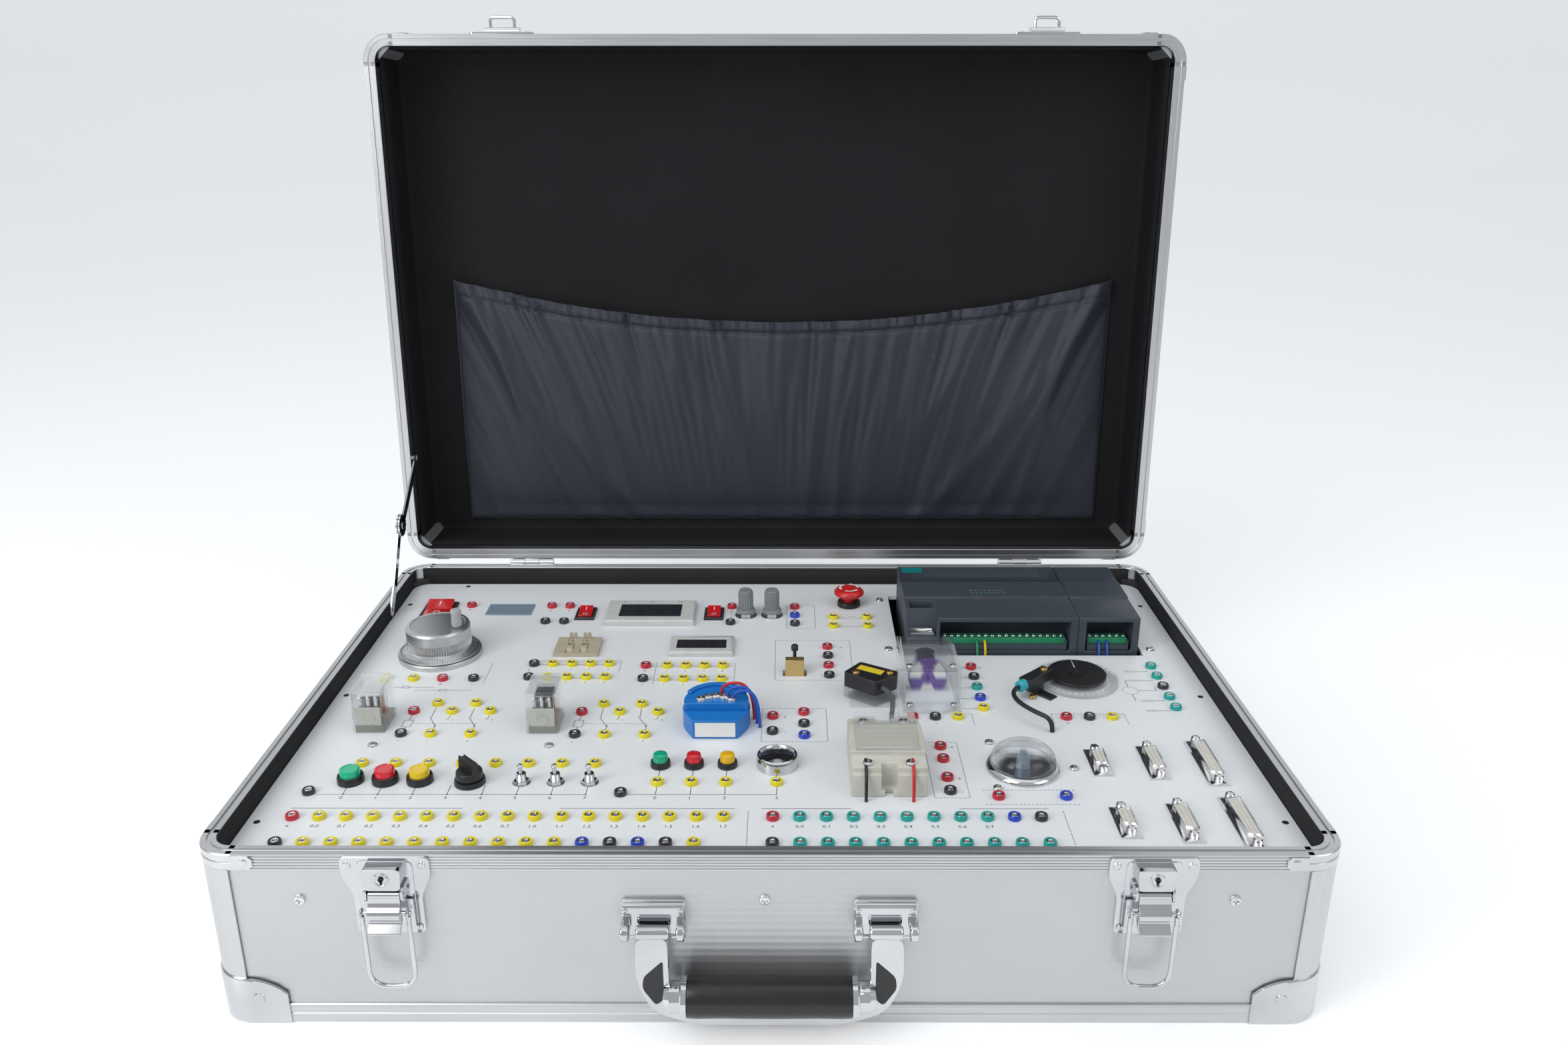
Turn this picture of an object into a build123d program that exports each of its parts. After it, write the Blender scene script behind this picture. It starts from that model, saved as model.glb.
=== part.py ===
from build123d import *
import os
from math import cos, pi, sin

# Bench trainer in an aluminium carrying case, with its lid open. The origin is the bottom centre of the base,
# +X points right, +Y to the hinges and +Z up. All sizes are millimetres.

# Case
CASE_W = 620.0          # width over the side profiles
CASE_D = 415.0          # depth over the front and back profiles
BASE_H = 111.0          # floor to the top of the base rim
LID_H = 65.0            # height of the lid over its profiles
LID_CAVITY = 57.0       # rim plane to the lining of the lid's top
LID_OPEN = 92.95        # degrees from closed to rest
RIM_T = 8.5             # width of the rim profile
RIM_H = 10.0            # height of the rim profile
RIM_R = 20.0            # outer radius of the corners
RIM_GAP = 0.3           # between the two rims when closed
CORNER_FLATS = 3        # facets round a corner casting
RIB_D = 0.8             # depth of the grooves in the rim's face
SKIN = 1.0              # the panels lie this far inside the profiles' faces
FLOOR_T = 7.0           # bottom panel
EDGE_W = 13.0           # visible width of the bottom profile
LINING_T = 1.2          # woven cloth in the lid
TAB_L = 12.0            # riveted tab of the rim's corner castings
CAP_R = 30.0            # ball radius of the pressed corner caps
CAP_T = 1.2             # their sheet

# Hinges and feet on the back
HINGE_X = 206.0         # middle of the case to each hinge
HINGE_W = 36.0
HINGE_OUT = 3.15        # axis behind the back face
KNUCKLE_R = 2.9
LEAF_H = 20.0
LEAF_T = 1.5
PIN_R = 1.2
PIN_FIT = 0.05          # radial play round a turning pin
GAP = 0.3               # between pieces that move past each other
FOOT_X = 256.0
FOOT_H = 3.6

# Faceplate
PLATE_DROP = 13.4       # rim top down to the faceplate's face
PLATE_T = 3.0
PLATE_GAP_X = 0.8       # faceplate to lining at the sides
PLATE_GAP_Y = 4.1       # faceplate to lining at the front and back
PLATE_R = 13.0
BATTEN_W = 12.0
BATTEN_H = 15.0

# Jacks
JACK_R = 3.75
JACK_H = 3.0
JACK_HOLE = 1.4
JACK_SIDES = 6          # flats that stand for the round collar, because there are so many
PITCH_IN = 15.54        # pitch of the input rows
PITCH_OUT = 15.47       # pitch of the output rows
PITCH_SW = 20.65        # pitch of the switch row
IN_X0 = -275.8          # first jack of the input rows
OUT_X0 = 1.2            # first jack of the output rows
SW_X0 = -254.0          # first jack of the switch row
ROW_1 = -152.6
ROW_2 = -178.6
ROW_SW = -94.0
ROW_LAMP = -115.5

# Controller in its cut-out
CUT_X0, CUT_X1 = 92.0, 272.0
CUT_Y0, CUT_Y1 = 60.0, 170.0
PLC_X, PLC_Y = 98.5, 64.0   # left front corner of the main unit
PLC_W = 125.0
MODULE_W = 45.0
PLC_L = 100.0
PLC_TOP = 127.0
PLC_DEPTH = 81.0
BAY_D = 22.0            # terminal bays behind the front face
BAY_Z0, BAY_Z1 = 99.0, 122.5
SHELF_W = 22.0          # low shelf with the serial port
PLC_SHELF_Z = 109.0
VENTS = 4
RAIL_W = 35.0
RAIL_H = 7.5

# Latches and handle on the front
LATCH_X = 205.0
LATCH_TOP = 110.0
LEVER_Z = 90.0          # axis of the latch lever
LEVER_OUT = 6.0         # that axis in front of the case
BAIL_Z = 80.5           # axis of the wire bail
BAIL_OUT = 9.0
BAIL_LEN = 49.0
BAIL_HALF = 12.4        # middle of the case of one leg
BAIL_R = 1.3
HANDLE_X = 62.7         # middle of each bracket
HANDLE_Z = 68.2         # axis of the handle
HANDLE_OUT = 9.0
HANDLE_HALF = 73.0      # half width over the arms
ARM_W = 18.5
ARM_T = 4.0
GRIP_R = 11.2
GRIP_L = 93.0
GRIP_Z = 28.1
GRIP_SET = 3.0          # grip in front of the handle's axis

# Lid stay on the left wall, as places in Y and Z
STAY_BASE = (124.5, 103.5)
STAY_KNEE = (166.5, 160.5)
STAY_LID = (222.0, 200.0)
STAY_W = 7.0
STAY_T = 1.5
STAY_DISC = 9.0
STAY_PIN_R = 2.0

# Cloth pocket in the lid, by distance from the hinge
POCKET_X0, POCKET_X1 = -269.0, 280.0
POCKET_LOW = 22.0
POCKET_TOP = 231.0
POCKET_SAG = 35.0       # the elastic top hem hangs this much lower in the middle
POCKET_BULGE = 9.0
POCKET_FOLDS = 14
POCKET_FOLD = 1.3       # depth of the gathers
POCKET_T = 1.5

# Controls
PUSH_X0, PUSH_Y = -255.0, -113.0
PUSH_PITCH = 21.0
PUSH_R = 6.2
PUSH_BEZEL_R = 8.0
PUSH_BEZEL_H = 5.0
PUSH_H = 9.0
PUSH_CAP = 6.0          # height of the cap
PUSH_GO = 2.5           # its travel
LAMP_X0, LAMP_Y = -68.9, -94.7
LAMP_PITCH = 20.75
LAMP_R, LAMP_BASE_H, LAMP_H = 4.7, 4.0, 8.7
SELECT_X, SELECT_Y = -182.4, -114.4
SELECT_R, SELECT_BASE_H, SELECT_H, SELECT_BAR_H = 9.2, 3.5, 8.7, 16.0
TOGGLE_X0, TOGGLE_Y = -151.1, -114.9
TOGGLE_PITCH = 20.6
TOGGLE_TILT = 12.0
TOGGLE_R = 1.1          # lever at its tail
TOGGLE_TAIL, TOGGLE_PIVOT, TOGGLE_TIP = 2.6, 4.5, 13.8
TOGGLE_BUSH_H, TOGGLE_BORE = 7.0, 2.3
ESTOP_X, ESTOP_Y = 59.3, 152.3
ESTOP_R, ESTOP_H, ESTOP_NECK_R = 12.0, 15.0, 5.0
ESTOP_BASE_R, ESTOP_BASE_H = 9.0, 4.0
KNOB_X0, KNOB_Y = -22.9, 131.7
KNOB_PITCH = 20.5
KNOB_R, KNOB_SKIRT_R, KNOB_H, NUT_H = 5.9, 7.5, 22.0, 3.3
WHEEL_X, WHEEL_Y = -246.0, 61.7
WHEEL_FLANGE_R = 30.0
WHEEL_FLANGE_H = 7.0
WHEEL_R = 23.2
WHEEL_H = 24.7
FINGER_X, FINGER_Y = 15.5, -5.4     # finger handle from the wheel's middle
FINGER_R, FINGER_TOP = 4.0, 38.5
ROCKER_TILT = 10.0
ROCKER_WALL = 2.4       # frame beside the rocker
ROCKER_PLAY = 1.0       # added to the rocker's reach, which grows as it tilts
ROCKER_RISE = 3.6       # ends of the rocker above its axis
ROCKER_Z = 0.6          # axis above the plate
ROCKERS = ((-267.6, 138.5, 20.6, 12.4), (-149.5, 132.5, 10.5, 7.6), (-48.1, 132.5, 10.5, 7.6))
THUMB_X, THUMB_Y = -146.0, 71.0
THUMB_W, THUMB_D = 33.0, 28.0
THUMB_H = 3.0
DIGIT_R = 8.5
DIGIT_Y = 67.0          # middle of the wheels
DIGIT_W = 4.6
DIGIT_PITCH = 10.5

# Instruments and devices
RELAYS = ((-262.1, -41.3), (-149.2, -42.3))
RELAY_W, RELAY_L, RELAY_H = 20.5, 28.0, 30.0
AC_X, AC_Y, AC_W, AC_L = -211.2, 141.4, 36.2, 20.7
METERS = ((-97.8, 131.0, 70.0, 40.0, 5.0, 48.5, 24.0), (-54.0, 72.0, 48.0, 29.0, 4.0, 37.0, 15.3))
SHOW_X = -54.0          # jacks of the digit display line up with it
DC_OUT_X, POT_X = -34.5, 15.7
ROW_CODE, ROW_SENSE = 20.9, -34.1
SSR_X, SSR_Y = 70.1, -98.8
SSR_W, SSR_L, SSR_H, SSR_STEP = 45.0, 63.0, 25.0, 6.0
TX_X, TX_Y, TX_R, TX_H = -36.8, -42.0, 22.0, 20.0
BUZZER_X, BUZZER_Y, BUZZER_R, BUZZER_H = 3.4, -93.9, 13.0, 8.0
BEACON_X, BEACON_Y, BEACON_R, BEACON_H = 154.9, -97.6, 22.7, 16.0
STEP_X, STEP_Y, STEP_R, STEP_RING_R = 213.9, 21.0, 20.5, 29.0
STEP_LOW, STEP_T = 4.0, 2.0
MOTOR_X, MOTOR_Y = 107.2, 11.0  # middle of the housing
MOTOR_BOX_W, MOTOR_BOX_L, MOTOR_BOX_H = 39.5, 54.0, 26.0
MOTOR_DISC_Y = 8.0
MOTOR_DISC_R = 13.6
MOTOR_DISC_T = 2.0
MOTOR_Z = 8.8
MOTOR_R = 8.0
SERIAL_W = 12.5         # width of the D connector flanges
SERIALS = ((203.1, 30.8), (236.9, 39.1), (270.0, 53.0))
SERIAL_Y = (-92.0, -157.7)
HEAT_X, HEAT_Y = 15.0, 31.6
HEAT_SLOT_W, HEAT_SLOT_L, HEAT_W = 17.0, 10.0, 13.3
HEAT_L, HEAT_H, HEAT_TIP = 6.6, 12.0, 20.5
LASER_OUTLINE = ((60.4, 11.8), (85.4, -3.1), (84.2, -9.2), (68.9, -19.7), (48.1, -3.9))
LASER_BASE_H, LASER_H = 8.0, 19.0
PROX_X, PROX_Y, PROX_L, PROX_LOW = 181.5, 4.0, 27.0, 6.0
PROX_NOSE, PROX_TURN = 6.0, 43.0
LEAD_R, CABLE_R = 1.0, 1.6
CONTROL_LEADS = (150.0, 156.0, 240.0, 246.0)

IN_X = CASE_W / 2 - RIM_T
IN_Y = CASE_D / 2 - RIM_T
FRONT = -CASE_D / 2
PLATE_Z = BASE_H - PLATE_DROP
HINGE_Y = CASE_D / 2 + HINGE_OUT
LID_Z = BASE_H + RIM_GAP
SHELL_TOP = BASE_H - RIM_H

def box(x0, x1, y0, y1, z0, z1):
    """Block between two corners."""
    return Pos((x0 + x1) / 2, (y0 + y1) / 2, (z0 + z1) / 2) * Box(x1 - x0, y1 - y0, z1 - z0)


def block(x, y, w, d, z0, z1):
    """Block by its middle, width and depth."""
    return box(x - w / 2, x + w / 2, y - d / 2, y + d / 2, z0, z1)


def rod(x, y, z0, z1, r):
    """Upright round bar."""
    return Pos(x, y, (z0 + z1) / 2) * Cylinder(r, z1 - z0)


def bar_x(y, z, x0, x1, r):
    """Round bar along X."""
    return Pos((x0 + x1) / 2, y, z) * Rot(0, 90, 0) * Cylinder(r, x1 - x0)


def bar_y(x, z, y0, y1, r):
    """Round bar along Y."""
    return Pos(x, (y0 + y1) / 2, z) * Rot(90, 0, 0) * Cylinder(r, y1 - y0)


def prism(points, z0, z1):
    """Upright prism over an outline in X and Y."""
    return Pos(0, 0, z0) * extrude(make_face(Polyline(*points, close=True)), z1 - z0)


def prism_x(points, x0, x1):
    """Prism along X over an outline in Y and Z."""
    return Pos(x0, 0, 0) * extrude(Plane.YZ * make_face(Polyline(*points, close=True)), x1 - x0)


def prism_y(points, y0, y1):
    """Prism along Y over an outline in X and Z."""
    return Pos(0, y1, 0) * extrude(Plane.XZ * make_face(Polyline(*points, close=True)), y1 - y0)


def rounded(x0, x1, y0, y1, r, z0, z1):
    """Block with rounded upright edges."""
    return fillet(box(x0, x1, y0, y1, z0, z1).edges().filter_by(Axis.Z), r)


def skinned(rings):
    """Solid in flats through rings that have as many corners each."""
    faces = [rings[0], rings[-1]]
    for low, high in zip(rings, rings[1:]):
        faces += [(low[i - 1], low[i], high[i], high[i - 1]) for i in range(len(low))]
    return Solid(Shell([make_face(Polyline(*corners, close=True)) for corners in faces]))


def drum(x, y, levels, sides=12):
    """Upright round piece in flats through pairs of height and radius, for the many small ones."""
    turns = [2 * pi * i / sides for i in range(sides)]
    return skinned([[(x + r * cos(turn), y + r * sin(turn), z) for turn in turns] for z, r in levels])


def flat_bar_x(y, z, x0, x1, r, sides=10):
    """Bar along X, its round section in flats."""
    return Pos(x0, y, z) * Rot(0, 90, 0) * extrude(RegularPolygon(r, sides), x1 - x0)


def flat_bore_x(y, z, x0, x1, r, sides=8):
    """Cutter for a bore along X in flats that a round bar of radius r clears."""
    return flat_bar_x(y, z, x0, x1, r / cos(pi / sides), sides)


def fluted(x, y, z0, z1, r, depth, count):
    """Ribbed drum, its outline a star of shallow ribs."""
    ring = []
    for i in range(count * 2):
        out = r if i % 2 else r - depth
        ring.append((x + out * cos(pi * i / count), y + out * sin(pi * i / count)))
    return prism(ring, z0, z1)


def lead(places, bends, r, sides=5):
    """Bent wire in flats: straight runs, and bends of a radius in two chords each."""
    route = []
    for edge in FilletPolyline(*places, radius=bends).edges():
        parts = 2 if edge.geom_type == GeomType.CIRCLE else 1
        route += [edge @ (i / parts) for i in range(parts)]
    path = Polyline(*route, places[-1])
    section = Plane(origin=path @ 0, z_dir=path % 0) * RegularPolygon(r, sides)
    return sweep(section, path, transition=Transition.RIGHT)


def save(name, *shapes):
    """One named node of separate solids."""
    solids = []
    for shape in shapes:
        solids += shape.solids()
    export_step(Compound(solids), f"parts/{name}.step")


def mirror_x(shape):
    """The same piece on the other side of the middle."""
    return mirror(shape, Plane.YZ)


def four_corners(piece):
    """A front right piece repeated at the four corners."""
    left = mirror_x(piece)
    return [piece, left, mirror(piece, Plane.XZ), mirror(left, Plane.XZ)]


def lid_pose(shape):
    """Turn a piece of the closed lid to where it rests when open."""
    return Pos(0, HINGE_Y, BASE_H) * Rot(-LID_OPEN, 0, 0) * Pos(0, -HINGE_Y, -BASE_H) * shape


def hollow(grow, z0, z1):
    """Inside of the case, its corners cut across, made larger all round by a wall's thickness."""
    x, y = IN_X + grow, IN_Y + grow
    return chamfer(box(-x, x, -y, y, z0, z1).edges().filter_by(Axis.Z), RIM_R - RIM_T)


def case_block(inset, z0, z1):
    """Block with the outline of the case, its corners in flats, drawn in by inset."""
    x, y, r = CASE_W / 2 - RIM_R, CASE_D / 2 - RIM_R, RIM_R - inset
    turns = [pi / 2 * i / CORNER_FLATS for i in range(CORNER_FLATS + 1)]
    quarter = [(x + r * cos(turn), y + r * sin(turn)) for turn in turns]
    half = quarter + [(-a, b) for a, b in reversed(quarter)]
    return prism(half + [(-a, -b) for a, b in half], z0, z1)


# Case

def rim_outline(side, grooves):
    """Section of the rim with its top at zero and its outer face at side."""
    points = [(0, 0)]
    for i in range(1, grooves + 1):
        groove = -i * RIM_H / (grooves + 1)
        points += [(0, groove + 0.4), (RIB_D, groove + 0.4), (RIB_D, groove - 0.4), (0, groove - 0.4)]
    points += [(0, -RIM_H), (RIM_T, -RIM_H), (RIM_T, 0)]
    points += [(RIM_T * 0.62, 0), (RIM_T * 0.62, -RIB_D), (RIM_T * 0.38, -RIB_D), (RIM_T * 0.38, 0)]
    return [(side + a, z) for a, z in points]


def rim_lengths():
    """Four ribbed extrusions of a rim whose top is at zero height."""
    half_w, half_d = CASE_W / 2 - RIM_R, CASE_D / 2 - RIM_R
    front = prism_x(rim_outline(-CASE_D / 2, 2), -half_w, half_w)
    side = Rot(0, 0, -90) * prism_x(rim_outline(-CASE_W / 2, 2), -half_d, half_d)
    return [front, Rot(0, 0, 180) * front, side, Rot(0, 0, 180) * side]


def rim_corner():
    """Cast corner at the front right: the rim's section turned a quarter in flats, with a tab on the front."""
    x1, y1 = CASE_W / 2 - RIM_R, FRONT + RIM_R
    section = [(-out, z) for out, z in rim_outline(-RIM_R, 0)]
    turns = [pi / 2 * i / CORNER_FLATS for i in range(CORNER_FLATS + 1)]
    arc = skinned([[(x1 + out * sin(turn), y1 - out * cos(turn), z) for out, z in section] for turn in turns])
    return arc + box(x1 - TAB_L, x1 + 1, FRONT - CAP_T, FRONT, -RIM_H + 1, -1)


def corner_post(z0, z1):
    """Quarter round profile at the front right corner."""
    ring = case_block(0, z0, z1) - case_block(SKIN, z0 - 1, z1 + 1)
    return ring & box(CASE_W / 2 - RIM_R, CASE_W / 2, FRONT, FRONT + RIM_R, z0, z1)


def edge_ring():
    """Angle profile round a flat side that lies at zero height, with its leg under the panel."""
    return case_block(0, 0, EDGE_W) - case_block(SKIN, SKIN, EDGE_W + 1) - case_block(EDGE_W, -1, SKIN)


def ball_cap():
    """Pressed corner cap at the front right of a flat side, its edge on a ball round the corner."""
    cap = case_block(-CAP_T, 0, CAP_R) - case_block(0, -1, CAP_R + 1)
    ball = [(rise * CAP_R, out * CAP_R) for rise, out in ((0.5, 0.87), (0.8, 0.6), (0.97, 0.25))]
    return cap & drum(CASE_W / 2 - RIM_R, FRONT + RIM_R, [(0, CAP_R)] + ball, 12)


def base_shell():
    """Panels of the base with the lined inside."""
    panels = case_block(SKIN, SKIN, SHELL_TOP) + case_block(EDGE_W, 0, SKIN)
    save("base_shell", panels - hollow(0, FLOOR_T, BASE_H))


def base_frame():
    """Rim, corner posts, bottom edging and corner castings of the base."""
    rims = [Pos(0, 0, BASE_H) * part for part in rim_lengths() + four_corners(rim_corner())]
    save("base_frame", edge_ring(), *four_corners(corner_post(EDGE_W, SHELL_TOP)), *rims, *four_corners(ball_cap()))


def lid_shell():
    """Panels of the lid, and the woven lining over its sides and top."""
    wall, ceiling = LID_Z + RIM_H, LID_Z + LID_CAVITY
    panels = case_block(SKIN, wall, LID_Z + LID_H - SKIN) - hollow(LINING_T, BASE_H, ceiling + LINING_T)
    save("lid_shell", lid_pose(panels))
    lining = hollow(LINING_T, wall, ceiling + LINING_T) - hollow(0, BASE_H, ceiling)
    save("lid_lining", lid_pose(lining))


def lid_frame():
    """Rim, corner posts, top edging and corner castings of the lid."""
    parts = [Pos(0, 0, LID_Z) * mirror(part, Plane.XY) for part in rim_lengths() + four_corners(rim_corner())]
    top = Pos(0, 0, LID_Z + LID_H)
    parts.append(top * mirror(edge_ring(), Plane.XY))
    parts += four_corners(corner_post(LID_Z + RIM_H, LID_Z + LID_H - EDGE_W))
    parts += [top * mirror(part, Plane.XY) for part in four_corners(ball_cap())]
    save("lid_frame", *[lid_pose(part) for part in parts])


def hinge_leaf(x, lid):
    """One leaf of a hinge about the case's hinge axis: two outer knuckles on the base, one on the lid."""
    third = HINGE_W / 3
    y0 = CASE_D / 2
    clear = KNUCKLE_R + GAP
    up = 1 if lid else -1
    z_near, z_far = BASE_H + up * clear, BASE_H + up * (clear + LEAF_H)
    leaf = box(x - HINGE_W / 2, x + HINGE_W / 2, y0, y0 + LEAF_T, min(z_near, z_far), max(z_near, z_far))
    spans = [(-third / 2, third / 2)] if lid else [(-1.5 * third, -third / 2 - GAP), (third / 2 + GAP, 1.5 * third)]
    for a, b in spans:
        leaf += box(x + a, x + b, y0, y0 + LEAF_T, min(BASE_H, z_near), max(BASE_H, z_near))
        leaf += flat_bar_x(HINGE_Y, BASE_H, x + a, x + b, KNUCKLE_R, 8)
    reach = third / 2 + GAP
    if lid:
        return leaf - flat_bore_x(HINGE_Y, BASE_H, x - reach, x + reach, PIN_R + PIN_FIT)
    return leaf + bar_x(HINGE_Y, BASE_H, x - reach, x + reach, PIN_R)


def latch_plate():
    """Pressed plate of a draw latch about X zero, with the keyed housing and the lugs that carry the lever."""
    y = FRONT - LEAF_T
    axis_y = FRONT - LEVER_OUT
    outline = [(-24, LATCH_TOP), (24, LATCH_TOP), (24, 97), (18.5, 85), (18.5, 62), (-18.5, 62), (-18.5, 85), (-24, 97)]
    plate = prism_y(outline, y, FRONT) + box(-18.5, 18.5, y, FRONT + SKIN, 62, SHELL_TOP)
    face_y = FRONT - BAIL_OUT
    plate += prism_x([(y, 108), (face_y, 105), (face_y, 97), (y, 95)], -10.5, 10.5)
    plate -= Pos(0, face_y + 3, 101) * Rot(90, 0, 0) * extrude(RegularPolygon(2.8, 8), 4)
    for x0 in (-10.5, 9.0):
        plate += box(x0, x0 + 1.5, axis_y - 2.2, y, LEVER_Z - 4, LEVER_Z + 5.5)
    plate += bar_x(axis_y, LEVER_Z, -9.2, 9.2, PIN_R)
    return plate


def latch_lever():
    """Curled lever of a draw latch, with the pins that carry the bail."""
    y, z = FRONT - LEVER_OUT, LEVER_Z
    curl = [(y + 1.5, z), (y - 1.5, z), (y - 3.0, z - 5), (y - 6.5, z - 8), (y - 6.5, z - 12), (y - 3.5, z - 14),
            (y - 8.5, z - 19.5), (y - 7.5, z - 20.5), (y - 1.5, z - 15.5), (y - 1.5, z - 6)]
    lever = prism_x(curl, -8.7, 8.7) + flat_bar_x(y, z, -8.7, 8.7, 2.3)
    lever -= flat_bore_x(y, z, -9, 9, PIN_R + PIN_FIT)
    return lever + flat_bar_x(FRONT - BAIL_OUT, BAIL_Z, -BAIL_HALF - 1.5, BAIL_HALF + 1.5, PIN_R, 8)


def wire_bail():
    """Wire loop of a draw latch with an eye round each pin."""
    y, low = FRONT - BAIL_OUT, BAIL_Z - BAIL_LEN + BAIL_R
    corners = [(-BAIL_HALF, y, BAIL_Z - 2), (-BAIL_HALF, y, low), (BAIL_HALF, y, low), (BAIL_HALF, y, BAIL_Z - 2)]
    loop = lead(corners, 9.5, BAIL_R)
    for x in (-BAIL_HALF, BAIL_HALF):
        loop += flat_bar_x(y, BAIL_Z, x - BAIL_R, x + BAIL_R, 2.5, 8)
    return loop - bar_x(y, BAIL_Z, -CASE_W / 2, CASE_W / 2, PIN_R + PIN_FIT)


def latches():
    """Left and right lever and bail, each on its own node."""
    for side, x in (("left", -LATCH_X), ("right", LATCH_X)):
        save(f"latch_lever_{side}", Pos(x, 0, 0) * latch_lever())
        save(f"latch_bail_{side}", Pos(x, 0, 0) * wire_bail())


def handle_bracket():
    """Bracket of the carry handle about X zero, with two barrels and the pin between them."""
    y = FRONT - HANDLE_OUT
    half = ARM_W / 2 + 8
    bracket = box(-half, half, FRONT, FRONT + SKIN, HANDLE_Z - 10, HANDLE_Z + 15)
    bracket += prism_x([(FRONT, HANDLE_Z + 15), (FRONT - 3.5, HANDLE_Z + 13), (FRONT - 3.5, HANDLE_Z - 6),
                        (FRONT, HANDLE_Z - 10)], -half, half)
    for x0 in (-half, half - 4.5):
        bracket += flat_bar_x(y, HANDLE_Z, x0, x0 + 4.5, 4.8, 8)
        bracket += box(x0, x0 + 4.5, y, FRONT, HANDLE_Z - 4, HANDLE_Z + 4)
    return bracket + bar_x(y, HANDLE_Z, 4 - half, half - 4, 1.8)


def carry_handle():
    """Two flat arms that run into a bar under a round grip, and the grip."""
    y = FRONT - HANDLE_OUT
    grip_y = y - GRIP_SET
    low, inner = GRIP_Z - GRIP_R - 8, GRIP_Z - GRIP_R
    half, knee = HANDLE_HALF, HANDLE_HALF - 33
    right = [(knee, low), (half - 19, low + 2.6), (half - 9, low + 8.5), (half - 2.5, low + 18), (half, low + 30),
             (half - 1, HANDLE_Z), (half - ARM_W, HANDLE_Z), (half - ARM_W, inner + 16), (half - ARM_W - 1.5, inner + 5),
             (GRIP_L / 2 + 2, inner)]
    strap = prism_y(right + [(-x, z) for x, z in reversed(right)], grip_y, grip_y + ARM_T)
    for x in (-HANDLE_X, HANDLE_X):
        strap += flat_bar_x(y, HANDLE_Z, x - ARM_W / 2, x + ARM_W / 2, ARM_T)
        strap -= flat_bore_x(y, HANDLE_Z, x - ARM_W, x + ARM_W, 1.8 + PIN_FIT)
    for side in (-1, 1):
        ends = sorted((side * GRIP_L / 2, side * (half - ARM_W + 2)))
        strap += flat_bar_x(grip_y, GRIP_Z, ends[0], ends[1], GRIP_R * 0.75, 12)
    grip = flat_bar_x(grip_y, GRIP_Z, -GRIP_L / 2, GRIP_L / 2, GRIP_R, 16)
    save("carry_handle", strap - grip, grip)


def stay_arm(start, end, x0, width):
    """Flat arm with round ends between two places in Y and Z."""
    run = ((end[0] - start[0]) ** 2 + (end[1] - start[1]) ** 2) ** 0.5
    across = (-(end[1] - start[1]) / run * width / 2, (end[0] - start[0]) / run * width / 2)
    corners = [(start[0] + across[0], start[1] + across[1]), (end[0] + across[0], end[1] + across[1]),
               (end[0] - across[0], end[1] - across[1]), (start[0] - across[0], start[1] - across[1])]
    arm = prism_x(corners, x0, x0 + STAY_T)
    for place in (start, end):
        arm += flat_bar_x(place[0], place[1], x0, x0 + STAY_T, width / 2, 8)
    return arm


def lid_stay():
    """Folding stay on the left: a lower arm on the base, an upper arm on the lid and a knee disc on each."""
    low_x, up_x = -IN_X + GAP, -IN_X + 2 * GAP + STAY_T
    bend = (140.5, 121.5)
    lower = stay_arm(STAY_BASE, bend, low_x, STAY_W) + stay_arm(bend, STAY_KNEE, low_x, STAY_W)
    lower += flat_bar_x(STAY_KNEE[0], STAY_KNEE[1], low_x, low_x + STAY_T, STAY_DISC, 16)
    save("stay_lower_arm", lower - flat_bore_x(STAY_BASE[0], STAY_BASE[1], -CASE_W, 0, STAY_PIN_R + PIN_FIT))
    upper = stay_arm(STAY_KNEE, STAY_LID, up_x, STAY_W)
    upper += flat_bar_x(STAY_KNEE[0], STAY_KNEE[1], up_x, up_x + STAY_T, STAY_DISC, 16)
    save("stay_upper_arm", upper - flat_bore_x(STAY_LID[0], STAY_LID[1], -CASE_W, 0, STAY_PIN_R + PIN_FIT))


def case_hardware():
    """What is riveted to the base: latch plates, handle brackets, hinge leaves and the stay's stud."""
    parts = []
    for x in (-LATCH_X, LATCH_X):
        parts.append(Pos(x, 0, 0) * latch_plate())
    for x in (-HANDLE_X, HANDLE_X):
        parts.append(Pos(x, 0, 0) * handle_bracket())
    for x in (-HINGE_X, HINGE_X):
        parts.append(hinge_leaf(x, False))
    parts.append(bar_x(STAY_BASE[0], STAY_BASE[1], -IN_X, -IN_X + GAP + STAY_T, STAY_PIN_R))
    save("case_hardware", *parts)


def lid_hardware():
    """What is riveted to the lid: catches with their loops, hinge leaves, the stay's stud and a wall rivet."""
    parts = []
    for x in (-LATCH_X, LATCH_X):
        z = LID_Z + 1
        catch = block(x, FRONT - LEAF_T / 2, 50, LEAF_T, z, z + 14)
        catch += prism_x([(FRONT, z + 11), (FRONT - 5, z + 9), (FRONT - 5, z + 4), (FRONT, z + 2)], x - 13, x + 13)
        loop = block(x, FRONT - 9, 20, 8.5, z + 5.5, z + 7.5) - block(x, FRONT - 9, 16.5, 5.5, z + 5, z + 8)
        parts.append(catch + loop)
        parts.append(hinge_leaf(HINGE_X if x > 0 else -HINGE_X, True))
    parts = [lid_pose(part) for part in parts]
    parts.append(bar_x(STAY_LID[0], STAY_LID[1], -IN_X, -IN_X + 2 * GAP + 2 * STAY_T, STAY_PIN_R))
    save("lid_hardware", *parts)


def lid_feet():
    """Two rubber feet on the back wall of the lid, where the closed case stands on its hinges."""
    y, z = CASE_D / 2 - SKIN, LID_Z + 30
    feet = []
    for x in (-FOOT_X, FOOT_X):
        outline = [(x - 7, z), (x + 7, z), (x + 7, z + 14), (x - 7, z + 14)]
        pad = prism_y(outline, y, y + FOOT_H + SKIN)
        feet.append(lid_pose(chamfer(pad.faces().sort_by(Axis.Y)[-1].edges(), 1.8)))
    save("lid_feet", *feet)


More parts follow.
